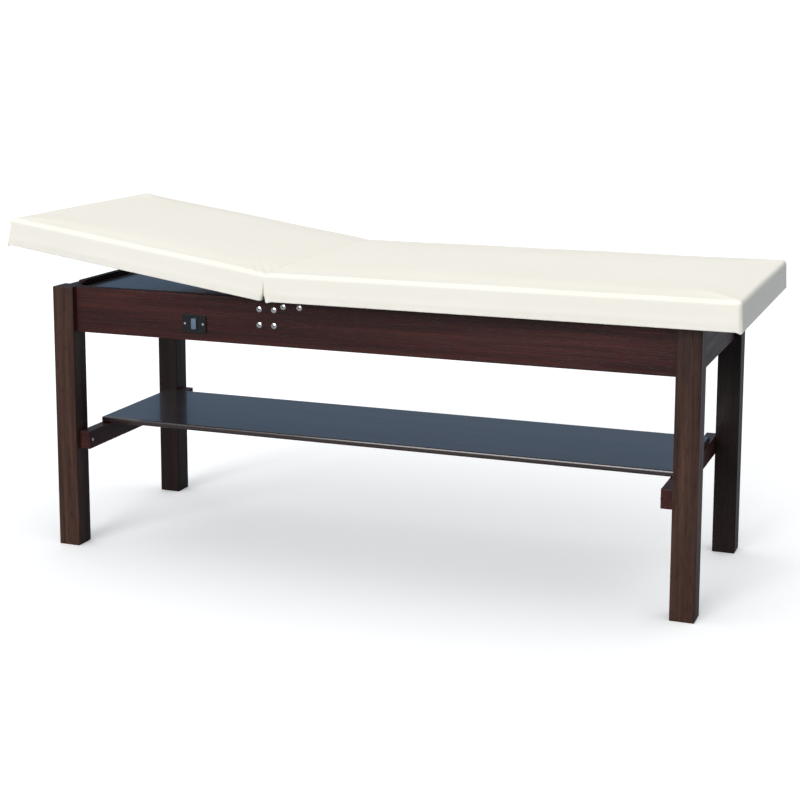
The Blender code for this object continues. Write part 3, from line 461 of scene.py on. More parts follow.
rubber = moulded("rubber", (0.016, 0.016, 0.016), 0.62, 0.25)

MATERIAL_OF = {
    "apron_front": wood_x,
    "apron_rear": wood_x,
    "shelf": shelf_board,
    "dust_panel": panel_board,
    "seat_board": seat_plywood,
    "backrest_board": back_plywood,
    "actuator_gearbox": casing,
    "actuator_motor": casing,
    "control_box": casing,
    "mains_inlet": rubber,
    "bumper_strip": rubber,
    "switch_lead": rubber,
    "motor_lead": rubber,
    "switch_plate": black_plastic,
    "switch_housing": black_plastic,
    "rocker": rocker_grey,
    "actuator_rod": nickel,
}
PREFIX_MATERIALS = (
    ("leg_front", wood_z),
    ("leg_rear", wood_rear_painted_shade),
    ("rail_", wood_y),
    ("stretcher_screw", zinc),
    ("stretcher_", wood_y),
    ("seat_bearer", wood_y),
    ("panel_rail", wood_y),
    ("connector_bolt", nickel),
    ("switch_screw", nickel),
)


def finish_frame_nodes():
    """Gives every carried-over node its material."""
    for name, node in nodes.items():
        chosen = MATERIAL_OF.get(name)
        if chosen is None:
            chosen = next((m for prefix, m in PREFIX_MATERIALS if name.startswith(prefix)), zinc)
        node.data.materials.clear()
        node.data.materials.append(chosen)


# ---------------------------------------------------------------- modelling helpers
def deselect():
    if bpy.context.mode != "OBJECT":
        bpy.ops.object.mode_set(mode="OBJECT")
    bpy.ops.object.select_all(action="DESELECT")


def activate(made):
    deselect()
    made.select_set(True)
    bpy.context.view_layer.objects.active = made


def start_edit(made, mode="FACE"):
    activate(made)
    bpy.ops.object.mode_set(mode="EDIT")
    bpy.ops.mesh.select_mode(type=mode)
    bpy.ops.mesh.select_all(action="DESELECT")


def end_edit():
    bpy.ops.object.mode_set(mode="OBJECT")


def select_whole():
    bpy.ops.mesh.select_all(action="SELECT")


def close_up():
    """Ends an edit with all faces turned outward."""
    select_whole()
    bpy.ops.mesh.normals_make_consistent(inside=False)
    end_edit()


def bake_place():
    bpy.ops.object.transform_apply(location=True, rotation=True, scale=True)


def select_edges(made, test):
    """Selects the edges whose two ends pass the test together, in edit mode."""
    mesh = bmesh.from_edit_mesh(made.data)
    for edge in mesh.edges:
        edge.select_set(test(edge.verts[0].co, edge.verts[1].co))
    bmesh.update_edit_mesh(made.data)


def select_faces(made, test):
    """Selects the faces whose middle passes the test, in edit mode."""
    mesh = bmesh.from_edit_mesh(made.data)
    for face in mesh.faces:
        face.select_set(test(face.calc_center_median()))
    bmesh.update_edit_mesh(made.data)


def apply_modifier(made, name, kind, **settings):
    modifier = made.modifiers.new(name, kind)
    for key, value in settings.items():
        setattr(modifier, key, value)
    activate(made)
    bpy.ops.object.modifier_apply(modifier=name)


def finish_piece(made, name, finish, body, smooth_angle=35.0):
    """Names a piece, bakes its place into its mesh, and fixes it to a body."""
    made.name = name
    activate(made)
    bake_place()
    bpy.ops.object.shade_smooth_by_angle(angle=math.radians(smooth_angle))
    made.data.materials.clear()
    made.data.materials.append(finish)
    if body:
        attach(made, body)
    return made


def coordinates(made):
    points = np.empty(len(made.data.vertices) * 3)
    made.data.vertices.foreach_get("co", points)
    return points.reshape(-1, 3)


def move_to(made, points):
    made.data.vertices.foreach_set("co", points.astype(np.float32).ravel())
    made.data.update()


def bell(distance, width):
    return np.exp(-((distance / width) ** 2))


# ---------------------------------------------------------------- upholstered pad
PAD_DEPTH = PAD_TOP - PAD_BOTTOM
TAKE_IN = 0.0016  # the blank is this much smaller all round than the filled pad
SWELL = 0.0036  # the most that the cover may swell
ROUNDING = 0.0110  # of the pad's top edges and upright corners
ROW = 0.0112  # between rows across the pad
EASE = np.array([0.0, 0.22, 0.48, 0.76, 1.0, 1.35])  # rows inside a rounding, as shares of it
SEAM_ROWS = np.array([-0.012, -0.006, -0.003, -0.0012, 0.0, 0.0012, 0.003, 0.006, 0.012])
TUCK = 0.0105  # of a corner's folded cover, from the end of the pad
SWELL_FRAMES = 20
SKIRT = 0.0115  # of solid foam left along the sides, below the seam
SEAM_RELIEF = 0.042  # of the hollow under the seam, in which the backrest's arms and board swing
SINK = 0.0004  # the most that the cover's sides may sink
NEAR_BOARD = 0.006  # how far in from a side that limit holds
BEND_REACH = 0.03  # beside the hinge, over which the rows lean into the mitre
ON_SEAM = 0.0005  # rows closer than this lie on the seam
SIDE_BAND = 0.012  # in from the sides, what still counts as side
BOARD_COVER = 0.004  # of the pad's underside inside a board
HALF_TURN = math.tan(RAISED / 2)
COVER_WALL = PAD_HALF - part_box("seat_board")[1].y  # of foam and cover outside a board's edges
BOARD_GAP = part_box("seat_board")[0].x - HINGE.x  # from the seam to either board


def spaced(low, high):
    count = max(2, round((high - low) / ROW) + 1)
    return np.linspace(low, high, count)


def row_places():
    """Where the rows run across the pad and along it, closer together where it turns or folds."""
    head, foot = FLAT_HEAD + TAKE_IN, FOOT_END - TAKE_IN
    half = PAD_HALF - TAKE_IN
    inset = EASE * ROUNDING
    seam = HINGE.x + SEAM_ROWS
    back = spaced(head + inset[-1], seam[0])[1:-1]
    seat = spaced(seam[-1], foot - inset[-1])[1:-1]
    along = np.concatenate([head + inset, back, seam, seat, (foot - inset)[::-1]])
    middle = spaced(-half + inset[-1], half - inset[-1])[1:-1]
    across = np.concatenate([-half + inset, middle, (half - inset)[::-1]])
    up = np.array([PAD_BOTTOM, *np.linspace(PAD_BOTTOM + 0.004, PAD_TOP - TAKE_IN - inset[-1], 6)])
    return along, across, np.concatenate([up, (PAD_TOP - TAKE_IN - inset)[::-1][1:]])


def pad_slab():
    """A flat slab over both sections, with a row of points at each of the places above."""
    along, across, up = row_places()
    deselect()
    columns, rows = len(along) - 1, len(across) - 1
    bpy.ops.mesh.primitive_grid_add(x_subdivisions=columns, y_subdivisions=rows, size=2.0)
    slab = bpy.context.object
    start_edit(slab)
    select_whole()
    bpy.ops.mesh.extrude_region_move(TRANSFORM_OT_translate={"value": (0, 0, 1)})
    end_edit()
    start_edit(slab, "EDGE")
    select_edges(slab, lambda first, second: abs(first.z - second.z) > 0.5)
    bpy.ops.mesh.subdivide(number_cuts=len(up) - 2)
    close_up()
    points = coordinates(slab)
    points[:, 0] = along[np.rint((points[:, 0] + 1) / 2 * columns).astype(int)]
    points[:, 1] = across[np.rint((points[:, 1] + 1) / 2 * rows).astype(int)]
    points[:, 2] = up[np.rint(points[:, 2] * (len(up) - 1)).astype(int)]
    move_to(slab, points)
    return slab


def round_off(made):
    """Rounds the slab's top edges and upright corners. Its bottom edges stay square."""
    far_below = PAD_BOTTOM - 1.0
    points = coordinates(made)
    low = np.array([FLAT_HEAD + TAKE_IN, TAKE_IN - PAD_HALF, far_below]) + ROUNDING
    high = np.array([FOOT_END - TAKE_IN, PAD_HALF - TAKE_IN, PAD_TOP - TAKE_IN]) - ROUNDING
    core = np.clip(points, low, high)
    out = points - core
    reach = np.abs(out).max(axis=1)
    length = np.linalg.norm(out, axis=1)
    moves = length > 1e-7
    points[moves] = core[moves] + out[moves] * (reach / np.maximum(length, 1e-9))[moves, None]
    move_to(made, points)


def bend_at_hinge(made):
    """Raises the head end about the hinge's axis as a mitred bend."""
    points = coordinates(made)
    x, height = points[:, 0] - HINGE.x, points[:, 2] - HINGE.z
    back = x < -ON_SEAM
    row = np.abs(x) <= ON_SEAM
    lean = height * HALF_TURN
    seat_shift = np.where(x >= 0, lean * np.clip(1 - x / BEND_REACH, 0, 1), 0.0)
    back_shift = np.where(back, -lean * np.clip(1 + x / BEND_REACH, 0, 1), 0.0)
    flat = x + back_shift
    turned_x = flat * math.cos(RAISED) + height * math.sin(RAISED)
    turned_z = -flat * math.sin(RAISED) + height * math.cos(RAISED)
    points[:, 0] = HINGE.x + np.where(back, turned_x, x + seat_shift)
    points[:, 2] = HINGE.z + np.where(back, turned_z, height)
    points[row, 0] = HINGE.x + height[row] * HALF_TURN
    move_to(made, points)


def on_flat(points):
    """The points as on the flat pad: along it from the seam, across it, above its underside."""
    x, height = points[:, 0] - HINGE.x, points[:, 2] - HINGE.z
    back = x < height * HALF_TURN
    flat_x = np.where(back, x * math.cos(RAISED) - height * math.sin(RAISED), x)
    flat_z = np.where(back, x * math.sin(RAISED) + height * math.cos(RAISED), height)
    from_seam = np.where(back, flat_x + flat_z * HALF_TURN, x - height * HALF_TURN)
    return from_seam, points[:, 1], flat_z + HINGE.z - PAD_BOTTOM


def swell(made):
    """The cover under the foam's pressure: cloth held at its underside, with a soft cap on its moves."""
    start = coordinates(made)
    held = made.vertex_groups.new(name="held")
    above = on_flat(start)[2]
    held.add([int(i) for i in np.nonzero(above < 0.003)[0]], 1.0, "REPLACE")
    cloth = made.modifiers.new("cover", "CLOTH")
    cloth.settings.use_pressure = True
    cloth.settings.uniform_pressure_force = 4.0
    cloth.settings.tension_stiffness = 25.0
    cloth.settings.compression_stiffness = 25.0
    cloth.settings.shear_stiffness = 10.0
    cloth.settings.bending_stiffness = 1.5
    cloth.settings.vertex_group_mass = "held"
    cloth.settings.effector_weights.gravity = 0.0
    cloth.settings.quality = 4
    cloth.point_cache.frame_start = 1
    cloth.point_cache.frame_end = SWELL_FRAMES
    for number in range(1, SWELL_FRAMES + 1):
        bpy.context.scene.frame_set(number)
    activate(made)
    bpy.ops.object.modifier_apply(modifier="cover")
    bpy.context.scene.frame_set(1)
    moved = coordinates(made) - start
    far = np.maximum(np.linalg.norm(moved, axis=1, keepdims=True), 1e-9)
    moved *= SWELL * np.tanh(far / SWELL) / far
    move_to(made, start + kept_off_board(start, moved))
    made.vertex_groups.clear()


def kept_off_board(start, moved):
    """The moves, with the cover stopped where its sides would sink into the foam and the board behind."""
    seam, across, _ = on_flat(start)
    ends = ((FOOT_END - HINGE.x) - seam, seam - (FLAT_HEAD - HINGE.x))
    near_side = np.clip(1.0 - (PAD_HALF - TAKE_IN - np.abs(across)) / NEAR_BOARD, 0.0, 1.0)
    outward = np.sign(across)
    sunk = np.minimum(outward * moved[:, 1] + SINK, 0.0)
    moved[:, 1] -= outward * sunk * near_side
    for way, gap in zip((1.0, -1.0), ends):
        near_end = np.clip(1.0 - (gap - TAKE_IN) / NEAR_BOARD, 0.0, 1.0)
        moved[:, 0] -= way * np.minimum(way * moved[:, 0] + SINK, 0.0) * near_end
    return moved


def places_on(points):
    """Where each point is on the flat pad, and its shares of side, of top and of the hem."""
    seam, across, above = on_flat(points)
    inboard = PAD_HALF - np.abs(across)
    return SimpleNamespace(
        seam=seam,
        outward=np.sign(across),
        inboard=inboard,
        above=above,
        on_side=np.clip(1.0 - inboard / SIDE_BAND, 0.0, 1.0) ** 0.5,
        on_top=np.clip((above - PAD_DEPTH + 0.012) / 0.010, 0.0, 1.0),
        low=np.clip(1.0 - above / PAD_DEPTH, 0.0, 1.0),
    )


def seam_folds(at):
    """The seam: a hairline on top, opening down the sides to a small notch at the hem. The third value is
    painted shade along it, darkest in the notch and in the hollow inside the seam.
    """
    hairline = bell(at.seam, 0.0012) * at.on_top
    line = bell(at.seam, 0.0017) * at.on_side * np.clip((at.low - 0.30) / 0.45, 0.0, 1.0)
    notch = bell(at.seam, 0.0050) * at.on_side * bell(at.above, 0.010)
    inside = bell(at.seam, 0.009) * bell(at.above, 0.008)
    inside *= np.clip((at.inboard - 0.004) / 0.004, 0.0, 1.0)
    out = line * -0.0052 + notch * -0.0110
    up = notch * 0.0064 - bell(at.seam, 0.0014) * at.on_top * 0.0006
    return out, up, line * 0.75 + notch + hairline * 0.22 + inside


def seam_swelling(at):
    """The fixed section's folded corner beside the notch, and foam squeezed on both sides of the seam."""
    lump = bell(at.seam - 0.011, 0.007) * at.on_side * bell(at.above - 0.003, 0.008)
    squeeze = bell(at.seam - 0.020, 0.016) + bell(at.seam + 0.020, 0.016)
    squeeze *= at.on_side * np.clip(at.above / 0.03, 0, 1)
    dip = bell(at.seam + 0.006, 0.020) * at.on_top
    return lump * 0.0022 + squeeze * 0.0013, lump * -0.0040 + dip * -0.0015, 0.0


def seam_creases(at):
    """Short creases fanning out from the seam's ends over the top edge, with painted shade in them as the
    third value.
    """
    spacing = 0.026
    fan = np.clip((0.15 - at.inboard) / 0.15, 0.0, 1.0) * at.on_top
    slant = at.seam + at.inboard * 0.62
    wave = np.sin(slant * 2 * math.pi / spacing + 0.6 * at.outward)
    crease = np.maximum(0.0, wave) ** 2 * bell(at.seam + 0.030, 0.036) * fan
    return 0.0, crease * -0.0017, crease * 0.16


def end_folds(at, end):
    """The cover folded round the corners of one end, and pulled down a little at the hem. The third value
    is painted shade along the fold.
    """
    from_end = np.abs(end - at.seam)
    step = np.clip((from_end - TUCK) / 0.0016, -1.0, 1.0)
    near = bell(from_end - TUCK, 0.010) * at.on_side * np.clip(at.low * 1.6, 0.0, 1.0)
    pulled = bell(from_end - TUCK * 0.7, 0.007) * at.on_side * bell(at.above, 0.009)
    out = near * np.where(step > 0, -0.0007, 0.0014) * np.abs(step) + pulled * 0.0010
    return out, pulled * -0.0044, bell(from_end - TUCK, 0.0012) * at.on_side * at.low * 0.7


def hem_pull(at):
    """The hem pulled in between its staples, and the foam riding over the board's edge."""
    spacing = 0.052
    pull = np.sin(at.seam * 2 * math.pi / spacing + 0.9 * np.sin(at.seam * 11.0))
    near_hem = np.clip(1.0 - at.above / 0.020, 0.0, 1.0) ** 2
    over_board = bell(at.above - BOARD_THICKNESS - 0.004, 0.006) * at.on_side
    out = over_board * 0.0006 - at.on_side * near_hem * (0.0006 + 0.0004 * pull)
    return out, 0.0, 0.0


def shape_folds(made):
    """The seam, the folded corners, the pulled hem and the creases, and the painted shade of each, kept for
    the vinyl.
    """
    points = coordinates(made)
    at = places_on(points)
    ends = [end_folds(at, end - HINGE.x) for end in (FOOT_END, FLAT_HEAD)]
    parts = [seam_folds(at), seam_swelling(at), seam_creases(at), *ends, hem_pull(at)]
    out, up, painted_fold_shade = (sum(part[i] for part in parts) for i in range(3))
    points[:, 1] += at.outward * out
    points[:, 2] += up
    move_to(made, points)
    # Stores the painted shade of folds and seams, which the vinyl reads
    attribute = made.data.attributes.new("painted_fold_shade", "FLOAT", "POINT")
    attribute.data.foreach_set("value", np.clip(painted_fold_shade, 0.0, 1.0).astype(np.float32))


def open_over_boards(made):
    """Lifts the underside into the boards, and higher between them, where arms and board swing."""
    points = coordinates(made)
    seam, across, above = on_flat(points)
    past_edge = PAD_HALF - TAKE_IN - np.abs(across) > COVER_WALL
    past_ends = (seam < FOOT_END - HINGE.x - COVER_WALL) & (seam > FLAT_HEAD - HINGE.x + COVER_WALL)
    underside = above < 0.0005
    points[underside & past_edge & past_ends & (np.abs(seam) > BOARD_GAP), 2] += BOARD_COVER
    between_skirts = PAD_HALF - np.abs(across) > SKIRT
    points[underside & between_skirts & (np.abs(seam) < BOARD_GAP), 2] += SEAM_RELIEF
    move_to(made, points)


def relax(made):
    """Slow unevenness of foam and cover, so that no face is dead flat."""
    points = coordinates(made)
    seam, across, above = on_flat(points)
    wave = np.sin(seam * 7.3 + 1.1) * np.sin(across * 9.1 + 0.4)
    wave += 0.6 * np.sin(seam * 17.0 - across * 12.0)
    on_top = np.clip((above - PAD_DEPTH + 0.014) / 0.010, 0.0, 1.0)
    points[:, 2] += wave * on_top * 0.0007
    side_wave = np.sin(seam * 10.0 + 0.7) + 0.5 * np.sin(seam * 23.0 + above * 30.0)
    on_side = np.clip(1.0 - (PAD_HALF - np.abs(across)) / SIDE_BAND, 0.0, 1.0)
    points[:, 1] += np.sign(across) * side_wave * on_side * 0.0004 * np.clip(above / 0.02, 0, 1)
    move_to(made, points)


def half_of(pad, name, keep_seat):
    """One section of the pad, closed at the seam."""
    activate(pad)
    bpy.ops.object.duplicate()
    made = bpy.context.object
    made.name = name
    start_edit(made)
    select_whole()
    bpy.ops.mesh.bisect(
        plane_co=HINGE,
        plane_no=(math.cos(RAISED / 2), 0.0, -math.sin(RAISED / 2)),
        use_fill=True,
        clear_inner=keep_seat,
        clear_outer=not keep_seat,
        threshold=1e-5,
    )
    end_edit()
    bpy.ops.object.shade_smooth_by_angle(angle=math.radians(50))
    made.data.materials.clear()
    made.data.materials.append(vinyl)
    return made


def cushions():
    """Both sections, shaped as one cover run so that they meet, then parted at the seam."""
    pad = pad_slab()
    round_off(pad)
    bend_at_hinge(pad)
    swell(pad)
    relax(pad)
    open_over_boards(pad)
    apply_modifier(pad, "soften", "SUBSURF", levels=1, render_levels=1)
    shape_folds(pad)
    seat = half_of(pad, "seat_upholstery", True)
    back = half_of(pad, "backrest_upholstery", False)
    bpy.data.objects.remove(pad)
    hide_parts("seat_cushion")
    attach(seat, "frame")
    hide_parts("backrest_cushion")
    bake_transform(back)
    return seat, back


# ---------------------------------------------------------------- fittings
HEM_WIDTH = 0.026
HEM_THICKNESS = 0.0005
STAPLE_SPACING = 0.045
STAPLE_CROWN = Vector((0.010, 0.0012, 0.0006))
STAPLE_LEG = 0.003  # into the board
STAPLE_LINE = HEM_WIDTH * 0.55  # from the board's edges to the staples
NUT_REACH = 0.0058  # from a nut's middle to its corners
NUT_HEIGHT = 0.0040
WASHER_HEIGHT = 0.0012
COLLAR_WALL = 0.0035
COLLAR_PAST_ARM = 0.002
GEARBOX_ROUND = 0.006
BEZEL_REACH = 0.0032  # past the rocker's edges
BEZEL_WIDTH = 0.0020
BEZEL_HEIGHT = 0.0018
THREAD_RADIUS = 0.0030
SHAFT_RADIUS = (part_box("hinge_shaft")[1].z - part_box("hinge_shaft")[0].z) / 2


def add_block(low, high, arris=0.0):
    """A box between two corners, its edges rounded by arris."""
    low, high = Vector(low), Vector(high)
    deselect()
    bpy.ops.mesh.primitive_cube_add(size=1.0, location=(low + high) / 2, scale=high - low)
    made = bpy.context.object
    bake_place()
    if arris:
        apply_modifier(made, "arris", "BEVEL", width=arris, segments=2)
    return made


def add_turned(start, way, profile, sides=32):
    """A turned solid from (distance along way, radius) points, drawn up from a disc ring by ring."""
    way = Vector(way).normalized()
    deselect()
    first_at, first_radius = profile[0]
    bpy.ops.mesh.primitive_circle_add(
        vertices=sides,
        radius=first_radius,
        fill_type="NGON",
        location=Vector(start) + way * first_at,
        rotation=way.to_track_quat("Z", "Y").to_euler(),
    )
    made = bpy.context.object
    bake_place()
    start_edit(made)
    select_whole()
    for (at, radius), (next_at, next_radius) in zip(profile, profile[1:]):
        bpy.ops.mesh.extrude_region_move(TRANSFORM_OT_translate={"value": way * (next_at - at)})
        bpy.ops.transform.resize(
            value=(next_radius / radius,) * 3,
            center_override=Vector(start) + way * next_at,
        )
    close_up()
    return made


def joined(parts):
    deselect()
    for part in parts:
        part.select_set(True)
    bpy.context.view_layer.objects.active = parts[0]
    if len(parts) > 1:
        bpy.ops.object.join()
    return bpy.context.object


def copied(made, matrix):
    """A copy with its own mesh, set in its place by a matrix."""
    activate(made)
    bpy.ops.object.duplicate()
    copy = bpy.context.object
    copy.data.transform(matrix)
    return copy


def flat_box(name):
    """A backrest node's corners with the backrest laid flat."""
    back = TURN.inverted()
    points = np.array([back @ v.co for v in nodes[name].data.vertices])
    return Vector(points.min(axis=0)), Vector(points.max(axis=0))


def turned_hem(low, high, seam_side):
    """The cover turned under a board on three sides, a little uneven along its cut edge."""
    middle = (low.x + high.x) / 2
    deselect()
    bpy.ops.mesh.primitive_plane_add(size=1.0, location=(middle, 0, low.z))
    made = bpy.context.object
    made.scale = (high.x - low.x, high.y - low.y, 1.0)
    bake_place()
    start_edit(made)
    select_whole()
    bpy.ops.mesh.inset(thickness=HEM_WIDTH)
    seam_x = low.x if seam_side < 0 else high.x
    select_faces(made, lambda p: abs(p.y) < 0.01 and min(abs(p.x - middle), abs(p.x - seam_x)) < HEM_WIDTH)
    bpy.ops.mesh.delete(type="FACE")
    select_whole()
    bpy.ops.mesh.subdivide(number_cuts=60)
    bpy.ops.mesh.extrude_region_move(TRANSFORM_OT_translate={"value": (0, 0, -HEM_THICKNESS)})
    close_up()
    points = coordinates(made)
    inward = np.minimum(high.y - np.abs(points[:, 1]), HEM_WIDTH) / HEM_WIDTH
    wave = np.sin(points[:, 0] * 71.0) + 0.6 * np.sin(points[:, 0] * 173.0 + 0.8)
    points[:, 1] -= np.sign(points[:, 1]) * np.where(inward < 1.0, wave * inward * 0.0006, 0.0)
    move_to(made, points)
    return made


def staple():
    """One staple: a flat crown along X with its two legs going up into the board."""
    length, width, height = STAPLE_CROWN
    crown = add_block((-length / 2, -width / 2, -height), (length / 2, width / 2, 0), 0.0002)
    legs = [
        add_block((x - width / 2, -width / 2, -height / 2), (x + width / 2, width / 2, STAPLE_LEG))
        for x in (width / 2 - length / 2, length / 2 - width / 2)
    ]
    return joined([crown, *legs])


def row_of(low, high):
    """Where the staples are between two ends of a hem."""
    count = int((high - low - 2 * HEM_WIDTH) / STAPLE_SPACING)
    return [low + HEM_WIDTH + (high - low - 2 * HEM_WIDTH) * i / count for i in range(count + 1)]


def staple_row(low, high, seam_side):
    """Staples through a hem, along both sides and the outer end."""
    model = staple()
    end_x = high.x - STAPLE_LINE if seam_side < 0 else low.x + STAPLE_LINE
    places = []
    for i, x in enumerate(row_of(low.x, high.x)):
        skew = 0.16 * math.sin(i * 2.3)
        places.append((x, high.y - STAPLE_LINE, skew))
        places.append((x + 0.004, low.y + STAPLE_LINE, -skew))
    for i, y in enumerate(row_of(low.y, high.y)):
        places.append((end_x, y, math.pi / 2 + 0.14 * math.sin(i * 1.7)))
    rows = []
    for x, y, turn in places:
        place = Matrix.Translation((x, y, low.z - HEM_THICKNESS))
        rows.append(copied(model, place @ Matrix.Rotation(turn, 4, "Z")))
    bpy.data.objects.remove(model)
    return joined(rows)


def hems():
    """Both boards' hems and staples. The backrest's are made flat and turned up with it."""
    seat_low, seat_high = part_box("seat_board")
    back_low, back_high = flat_box("backrest_board")
    for name, low, high, seam_side, body in (
        ("seat", seat_low, seat_high, -1, "frame"),
        ("backrest", back_low, back_high, 1, "backrest"),
    ):
        hem = turned_hem(low, high, seam_side)
        rows = staple_row(low, high, seam_side)
        if body == "backrest":
            hem.data.transform(TURN)
            rows.data.transform(TURN)
        finish_piece(hem, f"{name}_hem", vinyl, body)
        finish_piece(rows, f"{name}_hem_staples", zinc, body)


def hexagon_nut(place, way):
    """A six-sided nut with turned-off corners and an open thread."""
    shape = ((0.0, 0.92), (0.12, 1.0), (0.85, 1.0), (1.0, 0.9))
    nut = add_turned(place, way, [(NUT_HEIGHT * at, NUT_REACH * share) for at, share in shape], 6)
    rim = THREAD_RADIUS + 0.0004
    thread = [(-NUT_HEIGHT * 0.3, rim), (0.0002, rim), (0.0004, THREAD_RADIUS)]
    return joined([nut, add_turned(place + way * NUT_HEIGHT, way, thread, 24)])


def bolt_nuts():
    """A washer and a nut on each bolt's tail, behind the hinge plates."""
    for side, sy in (("front", -1), ("rear", 1)):
        parts = []
        plate_low, plate_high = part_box(f"hinge_plate_{side}")
        inner = plate_high.y if sy < 0 else plate_low.y
        way = Vector((0, -sy, 0))
        for number in range(1, 7):
            low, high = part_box(f"connector_bolt_{side}_{number}")
            place = Vector(((low.x + high.x) / 2, inner, (low.z + high.z) / 2))
            washer = [(0.0001, 0.0068), (0.0004, 0.0072), (0.0009, 0.0072), (WASHER_HEIGHT, 0.0067)]
            parts.append(add_turned(place, way, washer))
            parts.append(hexagon_nut(place + way * WASHER_HEIGHT, way))
        finish_piece(joined(parts), f"hinge_nuts_{side}", zinc, "frame", 30)


def screw_head(place, way, radius):
    """A low round screw head with a sunk socket, drawn in shares of its radius."""
    shape = ((0.0, 1.0), (0.16, 1.0), (0.34, 0.86), (0.44, 0.60), (0.46, 0.42), (0.18, 0.34), (0.17, 0.10))
    return add_turned(place, way, [(radius * at, radius * share) for at, share in shape], 24)


def arm_screws(low, high):
    """Three screws along an arm, through it into the board."""
    down = Vector((0, 0, -1))
    middle = (low.y + high.y) / 2
    places = [Vector((low.x + (high.x - low.x) * share, middle, low.z)) for share in (0.06, 0.36, 0.66)]
    return joined([screw_head(place, down, 0.0048) for place in places])


def arm_collar(low, high):
    """The collar that carries an arm on the shaft, and two rippled weld beads between them."""
    outer = SHAFT_RADIUS + COLLAR_WALL
    bore = SHAFT_RADIUS + 0.0004
    length = high.y - low.y + 2 * COLLAR_PAST_ARM
    side = [(0.0, bore), (0.0006, outer - 0.0012), (0.0018, outer)]
    collar = side + [(length - at, radius) for at, radius in reversed(side)]
    parts = [add_turned((HINGE.x, low.y - COLLAR_PAST_ARM, HINGE.z), (0, 1, 0), collar, 40)]
    bead = [(0.0, 0.0008)]
    bead += [(0.001 + i * 0.0012, 0.0023 if i % 2 else 0.0018) for i in range(24)]
    for x in (-0.0125, -0.0080):
        start = (HINGE.x + x, low.y + 0.0006, low.z - 0.0004)
        parts.append(add_turned(start, (0, 1, 0), bead, 10))
    return joined(parts)


def arm_fixings():
    """Each arm's screws and collar, made with the backrest flat and turned up with it."""
    for side in ("front", "rear"):
        low, high = flat_box(f"backrest_arm_{side}")
        for name, made in (("arm_screws", arm_screws(low, high)), ("arm_collar", arm_collar(low, high))):
            made.data.transform(TURN)
            finish_piece(made, f"{name}_{side}", zinc, "backrest")


def rod_wiper():
    """The ring at the tube's mouth that wipes the rod."""
    tube_low, tube_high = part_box("actuator_tube")
    rod_low, rod_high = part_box("actuator_rod")
    bore = (rod_high.z - rod_low.z) / 2 + 0.0004
    reach = (tube_high.z - tube_low.z) / 2
    deselect()
    bpy.ops.mesh.primitive_torus_add(
        major_segments=48,
        minor_segments=12,
        major_radius=(reach + bore) / 2,
        minor_radius=(reach - bore) / 2,
        location=(tube_low.x - 0.0012, 0, (tube_low.z + tube_high.z) / 2),
        rotation=(0, math.pi / 2, 0),
    )
    wiper = bpy.context.object
    wiper.scale = (1.0, 1.0, 0.5)
    finish_piece(wiper, "rod_wiper", rubber, "frame")


def gearbox_details():
    """The gasket between the gearbox's two halves, and the screws under it."""
    low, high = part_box("actuator_gearbox")
    middle = (high.x + low.x) / 2
    proud = 0.0006
    gasket = add_block(
        (middle - 0.0008, low.y - proud, low.z - proud),
        (middle + 0.0008, high.y + proud, high.z + proud),
    )
    start_edit(gasket, "EDGE")
    select_edges(gasket, lambda first, second: abs(first.x - second.x) > 0.001)
    bpy.ops.mesh.bevel(offset=GEARBOX_ROUND + proud, segments=6, affect="EDGES")
    end_edit()
    finish_piece(gasket, "gearbox_gasket", rubber, "frame")
    down = Vector((0, 0, -1))
    screws = [
        screw_head(Vector((x, y, low.z)), down, 0.0032)
        for x in (low.x + 0.009, high.x - 0.009)
        for y in (low.y + 0.010, high.y - 0.010)
    ]
    finish_piece(joined(screws), "gearbox_screws", zinc, "frame")


def motor_cap():
    """The stepped plastic cap on the motor's end."""
    low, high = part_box("actuator_motor")
    radius = (high.z - low.z) / 2
    start = Vector((high.x - 0.010, 0, (low.z + high.z) / 2))
    cap = [(0.0, radius - 0.001), (0.0003, radius + 0.0006), (0.0090, radius + 0.0006)]
    cap += [(0.0112, radius - 0.0014), (0.0118, radius - 0.004), (0.0118, radius * 0.5)]
    cap += [(0.0106, radius * 0.46), (0.0106, radius * 0.1)]
    made = add_turned(start, (1, 0, 0), cap, 48)
    finish_piece(made, "motor_cap", black_plastic, "frame")


def switch_bezel():
    """A low raised frame round the rocker."""
    low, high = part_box("rocker")
    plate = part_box("switch_plate")[0].y
    middle = (low + high) / 2
    deselect()
    bpy.ops.mesh.primitive_plane_add(
        size=2.0, location=(middle.x, plate + 0.0004, middle.z), rotation=(math.pi / 2, 0, 0)
    )
    bezel = bpy.context.object
    bezel.scale = ((high.x - low.x) / 2 + BEZEL_REACH, (high.z - low.z) / 2 + BEZEL_REACH, 1.0)
    bake_place()
    start_edit(bezel)
    select_whole()
    bpy.ops.mesh.inset(thickness=BEZEL_WIDTH)
    select_faces(bezel, lambda p: abs(p.x - middle.x) < 0.001 and abs(p.z - middle.z) < 0.001)
    bpy.ops.mesh.delete(type="FACE")
    select_whole()
    bpy.ops.mesh.extrude_region_move(TRANSFORM_OT_translate={"value": (0, -BEZEL_HEIGHT, 0)})
    close_up()
    apply_modifier(bezel, "arris", "BEVEL", width=0.0005, segments=3)
    finish_piece(bezel, "switch_bezel", black_plastic, "frame")


# ---------------------------------------------------------------- stage
FLOOR_REACH = 40.0
ROOM_LOW = (0.13, 0.20, 0.30)
ROOM_HIGH = (1.13, 1.13, 1.12)
WHITE_BEHIND = (1.25, 1.25, 1.25)
DIM_FLOOR = (0.31, 0.325, 0.35)  # what the floor gives back to the table
SHADOW_FILL = (0.16, 0.16, 0.16)
CAMERA_FROM_MIDDLE = (1.525, -4.033, 1.379)
CAMERA_TURNS = (20.67, 8.69, -0.12)  # yaw, downward pitch and roll, in degrees


